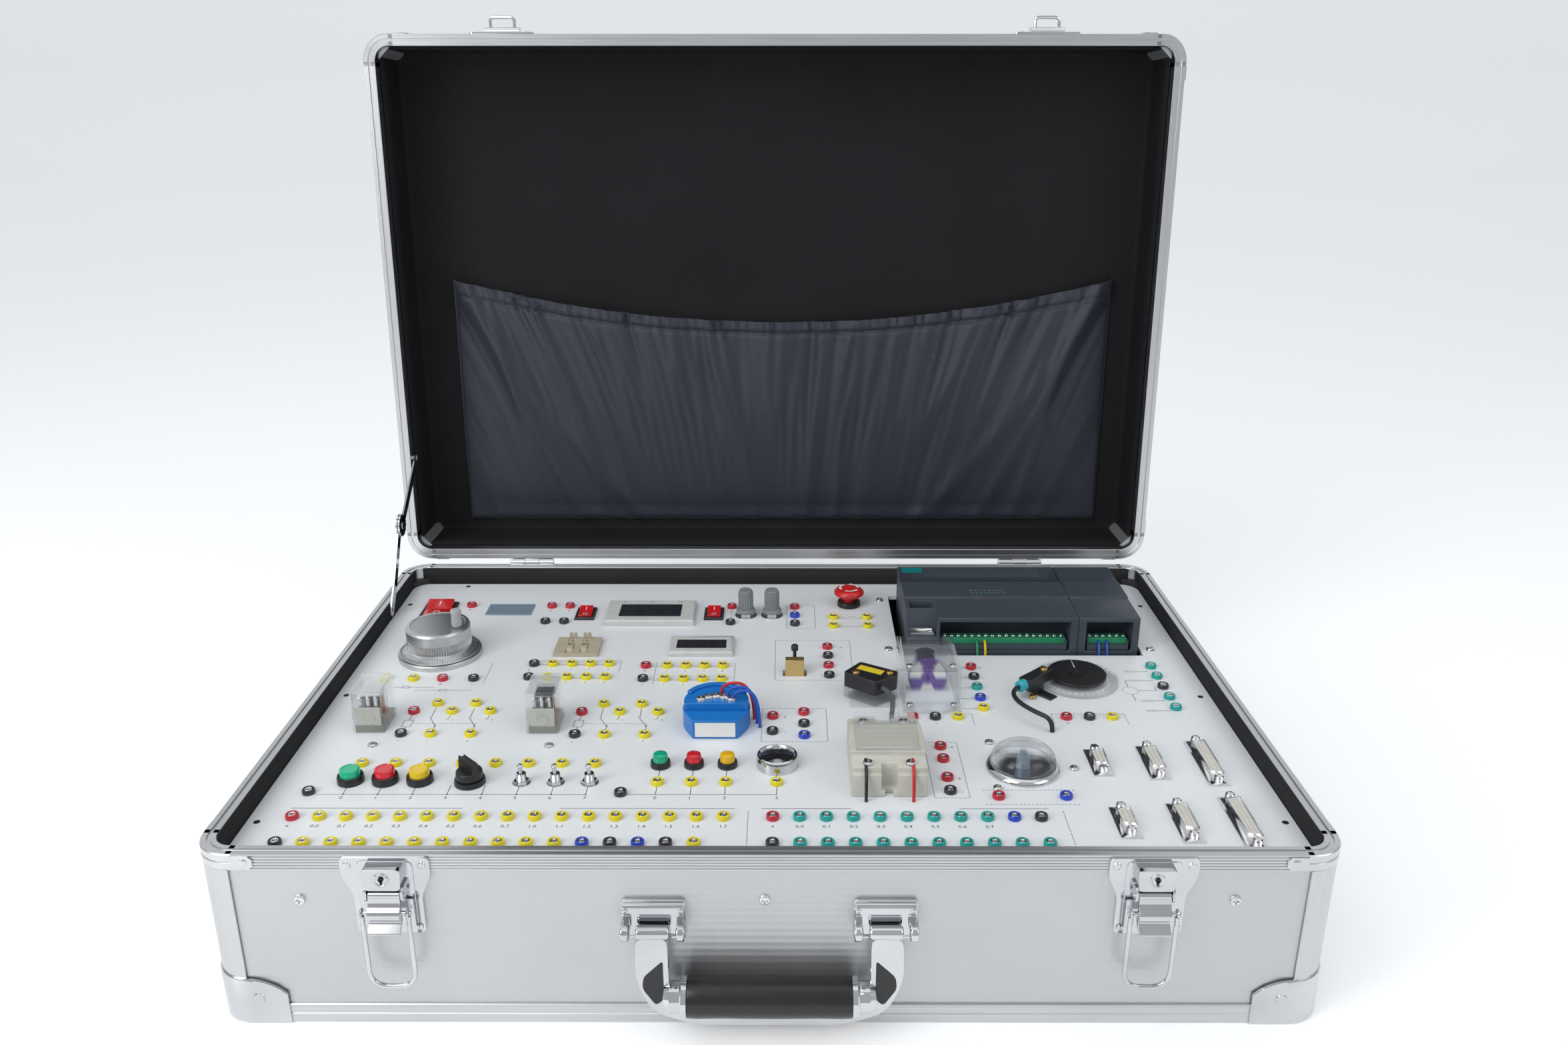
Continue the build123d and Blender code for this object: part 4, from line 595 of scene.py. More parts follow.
def handle_bracket(bm, x):
    """Ribbed bracket with two barrels beside the handle's arm and the pin through them."""
    half = 17.25
    slab(bm, softened(oblong(x - half, x + half, 83.2, 58.2), 2.5), FRONT - 1.2, FRONT + 1, "XZ")
    bow = [(FRONT - 1, 82.5), (FRONT - 4.0, 80.8), (FRONT - 4.4, 76), (FRONT - 3.2, 62), (FRONT - 1, 59)]
    slab(bm, softened(bow, 1.5), x - half + 0.8, x + half - 0.8, "YZ")
    for x0 in (x - half, x + half - 4.5):
        turn(bm, x0, FRONT - 9, HANDLE_LEVEL, [(4.2, 0), (4.8, 0.6), (4.8, 3.9), (4.2, 4.5)], 24, "X")
        turn(bm, x0 - 0.3, FRONT - 9, HANDLE_LEVEL, [(2.2, 0), (2.4, 0.4), (2.4, 4.7), (2.2, 5.1)], 16, "X")
        block(bm, x0, x0 + 4.5, FRONT - 8.8, FRONT, 64.4, 72.4)
        rivet(bm, x0 + 2.2, FRONT - 4.2, 78.5, 1.6)


plates, hinges, brackets, lid_hinges, catches = [bmesh.new() for _ in range(5)]
for x in LATCHES:
    latch_plate(plates, x)
for x in HINGES:
    leaf(hinges, x, -1)
    leaf(lid_hinges, x, 1)
for x in HANDLE_PINS:
    handle_bracket(brackets, x)
nickel = finish("nickel_plate", (0.74, 0.74, 0.75), 0.18, 1.0,
                uneven(0.08, 0.2, 90.0, 4.0, None, (240.0, 3.0, 0.06, 0.35)))
piece("latch_plates", plates, "base", chrome, node="case_hardware", bevel=0.35)
piece("base_hinges", hinges, "base", nickel, bevel=0.2)
piece("handle_brackets", brackets, "base", chrome, bevel=0.3)

# the keyholes are not cut: a disc and a slot of near-black painted shade stand on each housing's face
keyholes = bmesh.new()
for x in LATCHES:
    turn(keyholes, x, FRONT - 9.1, 101.6, [(1.5, 0), (1.5, 0.25), (0.01, 0.25)], 16, "Y", -1)
    block(keyholes, x - 0.55, x + 0.55, FRONT - 9.35, FRONT - 9.1, 98.4, 101.4)
# holes that are not cut are painted instead: this near-black finish is the shade inside them
hole_shade = finish("painted_hole_shade", (0.006, 0.006, 0.006), 0.6, 0.0, uneven(0.5, 0.3, 300.0))
piece("keyholes", keyholes, "base", hole_shade, smooth=32)

# catches on the lid: a plate with a hooked loop for the bail
z = 112.3
hook = [(FRONT - 1, z + 11), (FRONT - 5, z + 9), (FRONT - 5, z + 4), (FRONT - 1, z + 2)]
for x in LATCHES:
    plate = [(x - 25, z), (x + 25, z), (x + 21, z + 14), (x - 21, z + 14)]
    slab(catches, softened(plate, 3), FRONT - 1.5, FRONT + 0.4, "XZ")
    slab(catches, softened(hook, 1.5), x - 13, x + 13, "YZ")
    loop = [(x - 9, FRONT - 3, z + 6.5), (x - 9, FRONT - 12, z + 6.5),
            (x + 9, FRONT - 12, z + 6.5), (x + 9, FRONT - 3, z + 6.5)]
    tube(catches, bent(loop, 3), 1.2, 10)
    for side in (-1, 1):
        rivet(catches, x + side * 18.5, FRONT - 1.5, z + 6.5, 2.2)
piece("lid_catches", catches, "lid", chrome, node="lid_hardware", pose=lid_pose, bevel=0.3)
piece("lid_hinges", lid_hinges, "lid", nickel, pose=lid_pose, bevel=0.2)


# Latch levers and bails
# Each lever is curled from one strip of plated steel and turns on the plate's pin. The bail is one bent wire
# with an eye at each end round the lever's pins.

PIN_LEVEL = 80.5
for side, x in zip(("left", "right"), LATCHES):
    lever, bail = bmesh.new(), bmesh.new()
    y, z = FRONT - 6.0, 90.0
    curl = [(y + 1.6, z + 1), (y - 1.8, z + 1.4), (y - 3.2, z - 5), (y - 6.6, z - 8), (y - 6.8, z - 12),
            (y - 3.6, z - 14), (y - 8.6, z - 19.5), (y - 7.5, z - 20.8), (y - 1.4, z - 15.5),
            (y - 1.4, z - 6)]
    slab(lever, softened(curl, 2.0, 5), x - 8.6, x + 8.6, "YZ")
    turn(lever, x - 8.7, y, z, [(2.0, 0), (2.4, 0.4), (2.4, 17.0), (2.0, 17.4)], 20, "X")
    turn(lever, x - 14.2, FRONT - 9, PIN_LEVEL, [(1.0, 0), (1.25, 0.3), (1.25, 28.1), (1.0, 28.4)], 14, "X")
    low = PIN_LEVEL - 49 + 1.3
    loop = [(x - 12.4, FRONT - 9, 78.7), (x - 12.4, FRONT - 9, low),
            (x + 12.4, FRONT - 9, low), (x + 12.4, FRONT - 9, 78.7)]
    tube(bail, bent(loop, 10.5, 10), 1.35, 12)
    for dx in (-12.4, 12.4):
        eye = [(x + dx, FRONT - 9 + 2.0 * cos(k * pi / 10), PIN_LEVEL + 2.0 * sin(k * pi / 10))
               for k in range(-5, 15)]
        tube(bail, eye, 0.75, 8)
    name = "latch_lever_" + side
    piece("curled_lever_" + side, lever, name + "_body", chrome, node=name, bevel=0.4)
    name = "latch_bail_" + side
    piece("wire_bail_" + side, bail, name + "_body", chrome, node=name, smooth=40)


# Carry handle
# A chromed flat strap bent into two arms, with black inserts on the arms' outer sides and a smooth soft grip
# between them, closed by a chrome ferrule at each end. It turns on the brackets' pins.

strap, grip, ferrules, inserts = [bmesh.new() for _ in range(4)]
y_grip, y_arm = FRONT - 12.0, FRONT - 9.0
grip_level, half, low, inner = 28.1, 73.0, 8.9, 16.9
outer = [(-half + 1, HANDLE_LEVEL), (-half, 39), (-half + 9, 17.4), (-40, low),
         (40, low), (half - 9, 17.4), (half, 39), (half - 1, HANDLE_LEVEL)]
inside = [(half - 18.5, HANDLE_LEVEL), (half - 18.5, 33), (half - 20, 22), (48.5, inner),
          (-48.5, inner), (-half + 20, 22), (-half + 18.5, 33), (-half + 18.5, HANDLE_LEVEL)]
slab(strap, softened(outer + inside, 9, 6), y_grip - 0.2, y_grip + 4, "XZ")
for x in HANDLE_PINS:
    turn(strap, x - 9.1, y_arm, HANDLE_LEVEL, [(3.2, 0), (3.9, 0.7), (3.9, 17.5), (3.2, 18.2)], 24, "X")
for side in (-1, 1):
    turn(strap, side * 46.3, y_grip, grip_level, [(8.0, 0), (8.6, 1.5), (8.6, 8.0), (6.5, 11.5)], 28, "X",
         side)
piece("handle_strap", strap, "carry_handle_body", chrome, node="carry_handle", bevel=0.7)
sleeve = [(9.8, 0), (10.6, 0.8), (11.0, 3), (11.15, 8), (10.95, 20), (11.1, 34), (11.15, 46.5)]
sleeve += [(r, 93 - at) for r, at in sleeve[-2::-1]]
turn(grip, -46.5, y_grip, grip_level, sleeve, 40, "X")
soft_black = finish("soft_black_grip", (0.012, 0.012, 0.013), 0.3, 0.0,
                    uneven(0.2, 0.15, 120.0, 3.0, None, (1800.0, 2.0, 0.04, 0.4)))
ferrule = [(10.4, 0), (11.6, 0.4), (11.6, 3.2), (10.8, 4.0), (8.4, 4.2)]
piece("grip_sleeve", grip, "carry_handle_body", soft_black, smooth=50)
for side in (-1, 1):
    turn(ferrules, side * 44.6, y_grip, grip_level, ferrule, 36, "X", side)
    x = side * (half - 15.5)
    shape = [(x, 52), (x + side * 11, 41), (x + side * 11.5, 34), (x + side * 4.5, 23), (x, 27)]
    slab(inserts, softened(shape, 2.5), y_grip - 0.9, y_grip - 0.1, "XZ")
piece("grip_ferrules", ferrules, "carry_handle_body", chrome)
piece("arm_inserts", inserts, "carry_handle_body", soft_black, smooth=40, bevel=0.2)


# Lid stay
# Two plated flat arms on the left wall, joined at a knee with a notched disc that holds the lid, one stud on
# the base and one on the lid.

STAY_FOOT, STAY_BEND, STAY_KNEE, STAY_HEAD = (124.5, 103.5), (140.5, 121.5), (166.5, 160.5), (222.0, 200.0)


def stay_arm(bm, places, x):
    """Flat arm, round at its ends, with the knee's notched disc."""
    wide, thick = 7.0, 1.5
    for a, b in zip(places, places[1:]):
        a, b = Vector(a), Vector(b)
        way = (b - a).normalized()
        side = Vector((-way.y, way.x)) * wide / 2
        end = [b + side * cos(t) + way * (wide / 2) * sin(t) for t in (k * pi / 10 for k in range(11))]
        end += [a - side * cos(t) - way * (wide / 2) * sin(t) for t in (k * pi / 10 for k in range(11))]
        slab(bm, [tuple(p) for p in end], x, x + thick, "YZ")
    y, z = STAY_KNEE
    reach = [9.0 if k % 4 else 9.0 - 0.7 for k in range(48)]
    notched = [(y + r * cos(k * pi / 24), z + r * sin(k * pi / 24)) for k, r in enumerate(reach)]
    slab(bm, notched, x, x + thick, "YZ")


lower, upper = bmesh.new(), bmesh.new()
stay_arm(lower, [STAY_FOOT, STAY_BEND, STAY_KNEE], -301.2)
stay_arm(upper, [STAY_KNEE, STAY_HEAD], -299.4)
rivet(upper, -299.4 + 1.4, *STAY_KNEE, 3.2, "X", 1, 1.1)
for name, arm in (("lower_arm", lower), ("upper_arm", upper)):
    node = "stay_" + name
    piece("pressed_" + name, arm, node + "_body", chrome, node=node, bevel=0.25)
for name, place, head, shank, body in (("stay_stud_low", STAY_FOOT, -299.8, 2.0, "base"),
                                       ("stay_stud_high", STAY_HEAD, -297.9, 3.9, "lid")):
    stud = bmesh.new()
    rivet(stud, head, *place, 3.0, "X", 1, 1.0)
    turn(stud, -301.5, *place, [(1.95, 0), (1.95, shank)], 16, "X")
    piece(name, stud, body, chrome, smooth=32)
dress(finish("rubber_foot", (0.02, 0.02, 0.02), 0.7, 0.0, uneven(0.6, 0.25, 500.0)), "lid_feet")


# Screws of the case
# Cross headed screws hold the chassis to the front wall. They are one turned head repeated by a Geometry
# Nodes tree, which stands each copy on a place of a mesh and turns it by that place's own angles.

def repeat_tree():
    """Tree that puts a piece on every point, turned by the point's own angles."""
    tree = bpy.data.node_groups.new("repeated_piece", "GeometryNodeTree")
    io = tree.interface
    io.new_socket("Places", in_out="INPUT", socket_type="NodeSocketGeometry")
    io.new_socket("Piece", in_out="INPUT", socket_type="NodeSocketObject")
    io.new_socket("Finish", in_out="INPUT", socket_type="NodeSocketMaterial")
    io.new_socket("Made", in_out="OUTPUT", socket_type="NodeSocketGeometry")
    entry, leave, held, copies, turned, real, painted = [tree.nodes.new(kind) for kind in (
        "NodeGroupInput", "NodeGroupOutput", "GeometryNodeObjectInfo", "GeometryNodeInstanceOnPoints",
        "GeometryNodeInputNamedAttribute", "GeometryNodeRealizeInstances", "GeometryNodeSetMaterial")]
    turned.data_type = "FLOAT_VECTOR"
    turned.inputs["Name"].default_value = "turned"
    link = tree.links.new
    link(entry.outputs["Places"], copies.inputs["Points"])
    link(entry.outputs["Piece"], held.inputs["Object"])
    link(held.outputs["Geometry"], copies.inputs["Instance"])
    link(turned.outputs["Attribute"], copies.inputs["Rotation"])
    link(copies.outputs["Instances"], real.inputs["Geometry"])
    link(real.outputs["Geometry"], painted.inputs["Geometry"])
    link(entry.outputs["Finish"], painted.inputs["Material"])
    link(painted.outputs["Geometry"], leave.inputs["Made"])
    return tree


repeated = repeat_tree()


def repeat(name, one, places, body, material, node=None, slot=None, smooth=32):
    """Copies of one piece, drawn about zero in millimetres, at places with angles, as one plain mesh."""
    one.transform(Matrix.Scale(MM, 4))
    bmesh.ops.recalc_face_normals(one, faces=one.faces)
    pattern = bpy.data.objects.new("pattern", bpy.data.meshes.new("pattern"))
    one.to_mesh(pattern.data)
    one.free()
    points = bpy.data.meshes.new("places")
    points.from_pydata([[c / 1000 for c in p[:3]] for p in places], [], [])
    turned = points.attributes.new("turned", "FLOAT_VECTOR", "POINT")
    angles = [p[3] if len(p) > 3 else (0, 0, 0) for p in places]
    turned.data.foreach_set("vector", [a for three in angles for a in three])
    carrier = bpy.data.objects.new("carrier", points)
    bpy.context.collection.objects.link(carrier)
    copies = carrier.modifiers.new("copies", "NODES")
    copies.node_group = repeated
    by_name = {i.name: i.identifier for i in repeated.interface.items_tree if i.in_out == "INPUT"}
    copies[by_name["Piece"]] = pattern
    copies[by_name["Finish"]] = material
    seen = carrier.evaluated_get(bpy.context.evaluated_depsgraph_get())
    mesh = bpy.data.meshes.new_from_object(seen)
    bpy.data.objects.remove(carrier)
    bpy.data.objects.remove(pattern)
    mesh.name = name
    if "turned" in mesh.attributes:
        mesh.attributes.remove(mesh.attributes["turned"])
    on_body(name, mesh, body, node, smooth)


def cross_screw(r, tall):
    """Turned head with a cross cut in, its axis along Z and its seat at zero."""
    bm = bmesh.new()
    w = r * 0.16
    far = r * 0.6
    cross = [(w, w), (w, far), (-w, far), (-w, w), (-far, w), (-far, -w),
             (-w, -w), (-w, -far), (w, -far), (w, -w), (far, -w), (far, w)]
    turn(bm, 0, 0, 0, [(r, -0.3), (r, tall * 0.35), (r * 0.88, tall * 0.8), (r * 0.7, tall)])
    flat_top = [f for f in bm.faces if len(f.verts) > 4 and f.calc_center_median().z > 0.1 * tall]
    bmesh.ops.delete(bm, geom=flat_top, context="FACES_ONLY")
    top = [bm.verts.new((a, b, tall)) for a, b in cross]
    low = [bm.verts.new((a, b, tall * 0.35)) for a, b in cross]
    for i in range(12):
        bm.faces.new((top[i - 1], top[i], low[i], low[i - 1]))
    bm.faces.new(low)
    bm.verts.ensure_lookup_table()
    rim = [v for v in bm.verts if abs(v.co.z - tall) < 1e-6 and abs(v.co.xy.length - r * 0.7) < 1e-4]
    edges = [e for v in rim for e in v.link_edges if e.other_vert(v) in rim]
    edges += [bm.edges.get((top[i - 1], top[i])) for i in range(12)]
    bmesh.ops.triangle_fill(bm, edges=list(set(edges)), use_beauty=True)
    return bm


steel = finish("bright_steel", (0.66, 0.66, 0.66), 0.2, 1.0,
               uneven(0.12, 0.25, 200.0, 3.0, (60.0, (0.82, 0.82, 0.82))))
on_front = (pi / 2, 0, 0)
repeat("front_screws", cross_screw(3.1, 1.6),
       [(x, FRONT + 0.9, 82.0, on_front) for x in (-253.7, -2.6, 251.2)], "base", steel, slot="steel")


# Faceplate
# A thin metal plate with satin white paint, screwed down on battens inside the base. Its legend is screen
# printed: circuit lines, plain numbers and signs. The mounting holes along the edges are not cut; they are
# discs of painted shade.

PLATE = 97.6
PRINT = PLATE + 0.05
UPPER_ROW, LOWER_ROW, SWITCH_ROW = -152.6, -178.6, -94.0
SWITCH_RAIL = -127.9
NUMBER_COLUMNS = (-68.9, -48.3, -27.7, 3.3)
RELAYS = ((-262.1, -41.3), (-149.2, -42.3))


def satin_white(s, tone):
    """Satin paint with a fine speck."""
    speck = s.noise(s.place(), 1400.0, 2.0)
    cloud = s.noise(s.place(), 7.0, 2.0)
    return {"Base Color": (0.7 * cloud + 0.3 * speck).mixed(tone, (0.78, 0.81, 0.835, 1)),
            "Roughness": 0.3 + 0.12 * speck, "Normal": s.raised(speck, 0.03, 0.3)}


dress(finish("satin_white_plate", (0.71, 0.74, 0.765), 0.35, 0.0, satin_white), "faceplate")
dress(steel, "internal_chassis")
legend, holes = bmesh.new(), bmesh.new()


def patch(bm, corners, z=PRINT):
    """One flat face."""
    bm.faces.new([bm.verts.new((x, y, z)) for x, y in corners])


def line(x0, y0, x1, y1, wide=0.42):
    """Printed line between two places."""
    a, b = Vector((x0, y0)), Vector((x1, y1))
    side = (b - a).normalized().orthogonal() * wide / 2
    patch(legend, [a - side, b - side, b + side, a + side])


def dashes(x0, y0, x1, y1, pitch=2.4):
    """Printed broken line."""
    a, b = Vector((x0, y0)), Vector((x1, y1))
    count = max(1, round((b - a).length / pitch))
    for i in range(count):
        p, q = a.lerp(b, (i + 0.15) / count), a.lerp(b, (i + 0.75) / count)
        line(p.x, p.y, q.x, q.y)


def broken_box(x0, x1, y0, y1, sides):
    """Printed broken outline, on the sides named left, right, top and bottom."""
    ends = {"l": (x0, y0, x0, y1), "r": (x1, y0, x1, y1), "t": (x0, y1, x1, y1), "b": (x0, y0, x1, y0)}
    for side in sides:
        dashes(*ends[side])


def dot(bm, x, y, r):
    """Flat disc."""
    patch(bm, [(x + r * cos(2 * pi * i / 14), y + r * sin(2 * pi * i / 14)) for i in range(14)])


def ring(x, y, r):
    """Printed circle in a thin line."""
    for i in range(12):
        a, b = 2 * pi * i / 12, 2 * pi * (i + 1) / 12
        line(x + r * cos(a), y + r * sin(a), x + r * cos(b), y + r * sin(b), 0.22)


def set_type(bm, words, tall, pose):
    """Number or sign centred on a pose."""
    letters = bpy.data.curves.new("letters", "FONT")
    letters.body = words
    letters.size = tall * 1.4
    letters.resolution_u = 2
    letters.align_x = "CENTER"
    letters.align_y = "CENTER"
    holder = bpy.data.objects.new("letters", letters)
    mesh = bpy.data.meshes.new_from_object(holder)
    mesh.transform(pose)
    bm.from_mesh(mesh)
    bpy.data.objects.remove(holder)
    bpy.data.meshes.remove(mesh)


def printed(bm, words, x, y, tall, z=PRINT):
    """Number or sign set flat, centred on a place."""
    set_type(bm, words, tall, Matrix.Translation((x, y, z)))


def rows_of(x0, y, pitch, count):
    """Places in a row from the left."""
    return [(x0 + pitch * i, y) for i in range(count)]


ins, outs = rows_of(-275.8, UPPER_ROW, 15.54, 17), rows_of(1.2, UPPER_ROW, 15.47, 11)
switches = rows_of(-254, SWITCH_ROW, 20.65, 8)
for x0, x1 in ((-280, -180), (-123, -21), (-5.7, 47), (110, 162)):
    line(x0, -142.7, x1, -142.7)
for x in (-13.1, 170):
    dashes(x, -145, x, -179)
for numbered in (ins[1:], outs[1:9]):
    for i, (x, y) in enumerate(numbered):
        printed(legend, f"{i // 8}.{i % 8}", x, y - 8.4, 2.9)
line(-275.3, SWITCH_RAIL, -110, SWITCH_RAIL)
line(-275.3, SWITCH_RAIL, -275.3, -130)
for i, (x, y) in enumerate(switches):
    line(x - 1, SWITCH_RAIL, x - 1, y - 25 if i not in (3, 4) else -118)
    dot(legend, x - 1, SWITCH_RAIL, 0.6)
    printed(legend, str(i), x - 1, -131.6, 3.0)
line(-89.7, -127.8, 3.3, -127.8)
for i, x in enumerate(NUMBER_COLUMNS):
    line(x, -127.8, x, -119.5)
    line(x, -111.5, x, -100.5)
    printed(legend, str(i), x, -131.4, 3.0)
for x0, _ in RELAYS:
    coil_x, y0 = x0 + 21.1, -42.3
    for a, b, c, d in ((0, 11.5, 0, 4.5), (0, -4.5, 0, -11.5), (-2.9, 4.5, 2.9, 4.5), (-2.9, -4.5, 2.9, -4.5),
                       (-2.9, -4.5, -2.9, 4.5), (2.9, -4.5, 2.9, 4.5)):
        line(coil_x + a, y0 + b, coil_x + c, y0 + d)
    dashes(coil_x + 3.5, y0, coil_x + 46, y0, 2.0)
    for dx in (19.0, 45.0):
        x = coil_x + dx
        line(x, y0 - 11, x, y0 - 3)
        line(x, y0 - 3, x - 5.5, y0 + 7)
        ring(x - 5.7, y0 + 8, 0.8)
        ring(x + 5.8, y0 + 6.4, 0.8)
        line(x - 5.5, y0 + 9, x - 5.5, y0 + 21)
        line(x + 6.6, y0 + 7, x + 6.6, y0 + 11)
        dot(legend, x, y0 - 3, 0.7)
        printed(legend, "1" if dx < 20 else "2", x + 9.5, y0 + 5.0, 2.1)
        printed(legend, "1" if dx < 20 else "2", x, y0 - 22.5, 2.1)
for x0, x1, y0, y1, sides in (
        (-176, -111, 33.5, 50.5, "lrt"), (-85, -28, 14.5, 47.5, "lr"), (9.3, 31.4, 106.7, 151.7, "lrtb"),
        (1, 56.7, 20, 85.7, "lrtb"), (-7.1, 35.7, -65.4, -21.4, "lrtb"), (97, 118, -131, -66, "lrtb"),
        (84, 133, -28.5, -43, "lrb"), (186, 235, -28.5, -43, "lrb"), (126, 182, -138, -122.5, "tb"),
        (-204, -203.6, 14.5, 47, "l")):
    broken_box(x0, x1, y0, y1, sides)
for x0, y0 in ((-277, 9), (-250, 4.5)):
    line(x0, y0, x0 + 18, y0)
    line(x0 + 22.5, y0, x0 + 40, y0)
    for a, b, c, d in ((18, -1.2, 22.5, -1.2), (18, 1.2, 22.5, 1.2), (18, -1.2, 18, 1.2),
                       (22.5, -1.2, 22.5, 1.2)):
        line(x0 + a, y0 + b, x0 + c, y0 + d)
for y in (41.4, 20.5):
    line(-92, y, -37, y)
    line(-173, y + 2.6, -120, y + 2.6)
for i in range(4):
    for x, y in ((-77 + 13.4 * i, 13.6), (-77 + 13.4 * i, 34.6), (-160 + 13.6 * i, 16.4),
                 (-160 + 13.6 * i, 37.4)):
        printed(legend, str(2 ** i), x, y, 2.0)
for x, y in ((15.7, 122), (15.7, 138)):
    line(x, y - 5, x, y + 5)
line(-34.5, 122.5, -34.5, 140.5, 0.22)
line(49.5, 126.2, 55, 126.2)
line(63, 126.2, 68.5, 126.2)
line(49.5, 110.2, 68.5, 110.2)
line(55, 126.2, 63, 129.5)
for x, y, sign in ((-243.6, 141.6, "+"), (-179, 140.5, "+"), (-164.3, 140.5, "+"), (-178.6, 110.4, "-"),
                   (-164, 110.4, "-"), (-34.6, 139.3, "+"), (-34.3, 108.6, "-"), (-234, 13.6, "+"),
                   (-212.1, 13.6, "-"), (-92.4, 34.3, "+"), (-92.4, 13.4, "-"), (-240.5, -19.6, "+"),
                   (-240.8, -64.4, "-"), (-128.3, -20.4, "+"), (-128.3, -65.4, "-"), (93, -41.4, "+"),
                   (108, -41.4, "-"), (195, -41.4, "+"), (210.7, -41.4, "-"), (8, -33.3, "+"),
                   (8, -53.6, "-"), (114.5, -72.6, "+"), (114.5, -87.9, "-"), (114.5, -109.8, "+"),
                   (114.5, -124.5, "-"), (148.5, 39.5, "+"), (148.5, 24.2, "-"), (1.2, -161.2, "+"),
                   (-275.8, -161.2, "+"), (49.5, 72.8, "+"), (49.5, 57.7, "-")):
    printed(legend, sign, x, y, 3.4)
# windings and disc of the stepper's symbol
for x0, y0 in ((259, 34), (259, 20), (259, -10), (259, -24)):
    for i in range(4):
        ring(x0 - 2.2 * i, y0, 1.1)
    line(x0 + 1.4, y0, x0 + 9, y0)
ring(248, 5, 5.5)
for a, b, c, d in ((248, 10.5, 248, 20), (248, -0.5, 248, -10), (253.5, 5, 266, 5), (266, 5, 266, 9.8),
                   (248, 20, 251, 20)):
    line(a, b, c, d)
for y in (39.5, 24.2, 8.8, -7.2, -21.6):
    line(128, y, 137.5, y)
# mounting holes: flat discs of painted shade on the plate, not cut through
for x, y in ((-256.4, 189.7), (-294.3, 152.1), (-294.3, -2.9), (-294.6, -156.9), (293.6, 150), (293.9, -4),
             (295, -156.4), (256, 190)):
    dot(holes, x, y, 2.0)
ink = finish("printed_ink", (0.055, 0.06, 0.09), 0.5, 0.0, uneven(0.4, 0.2, 800.0))
flat_piece("printed_legend", legend, "base", ink)
flat_piece("mounting_holes", holes, "base", hole_shade)


# Sockets
# Each is a moulded collar in its circuit's colour, pressed round a nickel plated bush with the plug's bore.
# They stand on the plate in rows and in the circuits of the legend.

def moulded(name, tone, rough, deep=0.75, **more):
    """Plastic with a fine mould texture and clouds of its own tone made deeper."""
    deeper = (*[c * deep for c in tone], 1)

    def build(s, first):
        grain = s.noise(s.place(), 1600.0, 2.0)
        return {"Base Color": s.noise(s.place(), 120.0).mixed(first, deeper),
                "Roughness": rough + 0.12 * grain, "Normal": s.raised(grain, 0.03, 0.35)}
    return finish(name, tone, rough, 0.0, build, **more)


def lowest(places):
    """The same columns in the lowest row."""
    return [(x, LOWER_ROW) for x, _ in places]


relay_sockets = [(34.5, 25.4), (60.3, 25.4), (46.7, 14.4), (72.5, 14.4), (40.5, -16.1), (66.4, -16.1)]
sockets = {}
sockets["yellow"] = ins[1:] + lowest(ins[1:11] + ins[15:16]) + switches + [(x, -115.5)
                                                                           for x in NUMBER_COLUMNS]
sockets["yellow"] += [(-274.3, 20.9), (-254.7, 20.9)] + [(x + a, y + b) for x, y in RELAYS
                                                         for a, b in relay_sockets]
sockets["yellow"] += [(46.1, 126.2), (72.1, 126.2), (45.7, 110.2), (72.1, 110.2), (142, -21.6),
                      (123.3, -34.1), (226, -34.1)]
sockets["yellow"] += rows_of(-160, 44.1, 13.6, 4) + rows_of(-160, 23.1, 13.6, 4)
sockets["yellow"] += rows_of(-77, 41.4, 13.4, 4) + rows_of(-77, 20.5, 13.4, 4)
sockets["red"] = [ins[0], outs[0], (-234, 20.9), (-243.6, 148.9), (-34.5, 146.7), (15.7, 146), (-92.4, 41.4),
                  (39.6, 72.8), (39.6, 41.9), (0, -33.3), (20.7, -27.9), (142, 39.5), (93, -34.1),
                  (195.3, -34.1), (107, -72.6), (107, -87.9), (107, -109.8), (134.9, -130.4), (-179, 147.8),
                  (-164.4, 147.8), (-240.9, -27), (-128, -28)]
sockets["black"] = lowest([ins[0], outs[0], ins[12], ins[14]])
sockets["black"] += [outs[10], (-275.8, -126.2), (-89.7, -127.3), (-212.1, 20.9), (-34.5, 116.2),
                     (15.7, 114.1), (-173.6, 44.1), (-173.6, 23.1), (-92.4, 20.7), (39.6, 57.7), (39.6, 26.4),
                     (0, -53.6), (20.7, -43.6), (142, 24.2), (108.1, -34.1), (210.7, -34.1), (272, 9.8),
                     (107, -124.5), (-179, 117.8), (-164.4, 117.8), (-240.9, -57), (-128, -58)]
sockets["teal"] = outs[1:9] + lowest(outs[1:11]) + [(142, 8.8), (272, 41), (272, 25.2), (272, -5.8),
                                                    (272, -20.9)]
sockets["blue"] = lowest([ins[11], ins[13]]) + [outs[9], (15.7, 129.5), (20.7, -58.8), (142, -7.2),
                                                (174.9, -130.4)]
plastics = {"yellow": (0.84, 0.72, 0.0), "red": (0.56, 0.012, 0.035), "black": (0.022, 0.022, 0.026),
            "teal": (0.0, 0.38, 0.34), "blue": (0.012, 0.055, 0.55)}
for colour, places in sockets.items():
    collar = bmesh.new()
    turn(collar, 0, 0, 0, [(3.7, -0.5), (3.85, 0.3), (3.85, 2.3), (3.5, 2.9), (2.8, 3.05), (2.4, 2.7),
                           (2.35, 0.5)], 20)
    repeat("socket_collars_" + colour, collar, [(x, y, PLATE) for x, y in places], "base",
           moulded("socket_" + colour, plastics[colour], 0.25, Coat_Weight=0.3), node="jacks_" + colour,
           slot="jack_" + colour, smooth=40)
bush = bmesh.new()
turn(bush, 0, 0, 0, [(2.36, 0.4), (2.36, 2.4), (2.1, 2.75), (1.5, 2.8), (1.15, 2.5), (1.1, 0.7),
                     (0.01, 0.6)], 14)
repeat("socket_bushes", bush, [(x, y, PLATE) for places in sockets.values() for x, y in places], "base",
       nickel, slot="steel", smooth=40)
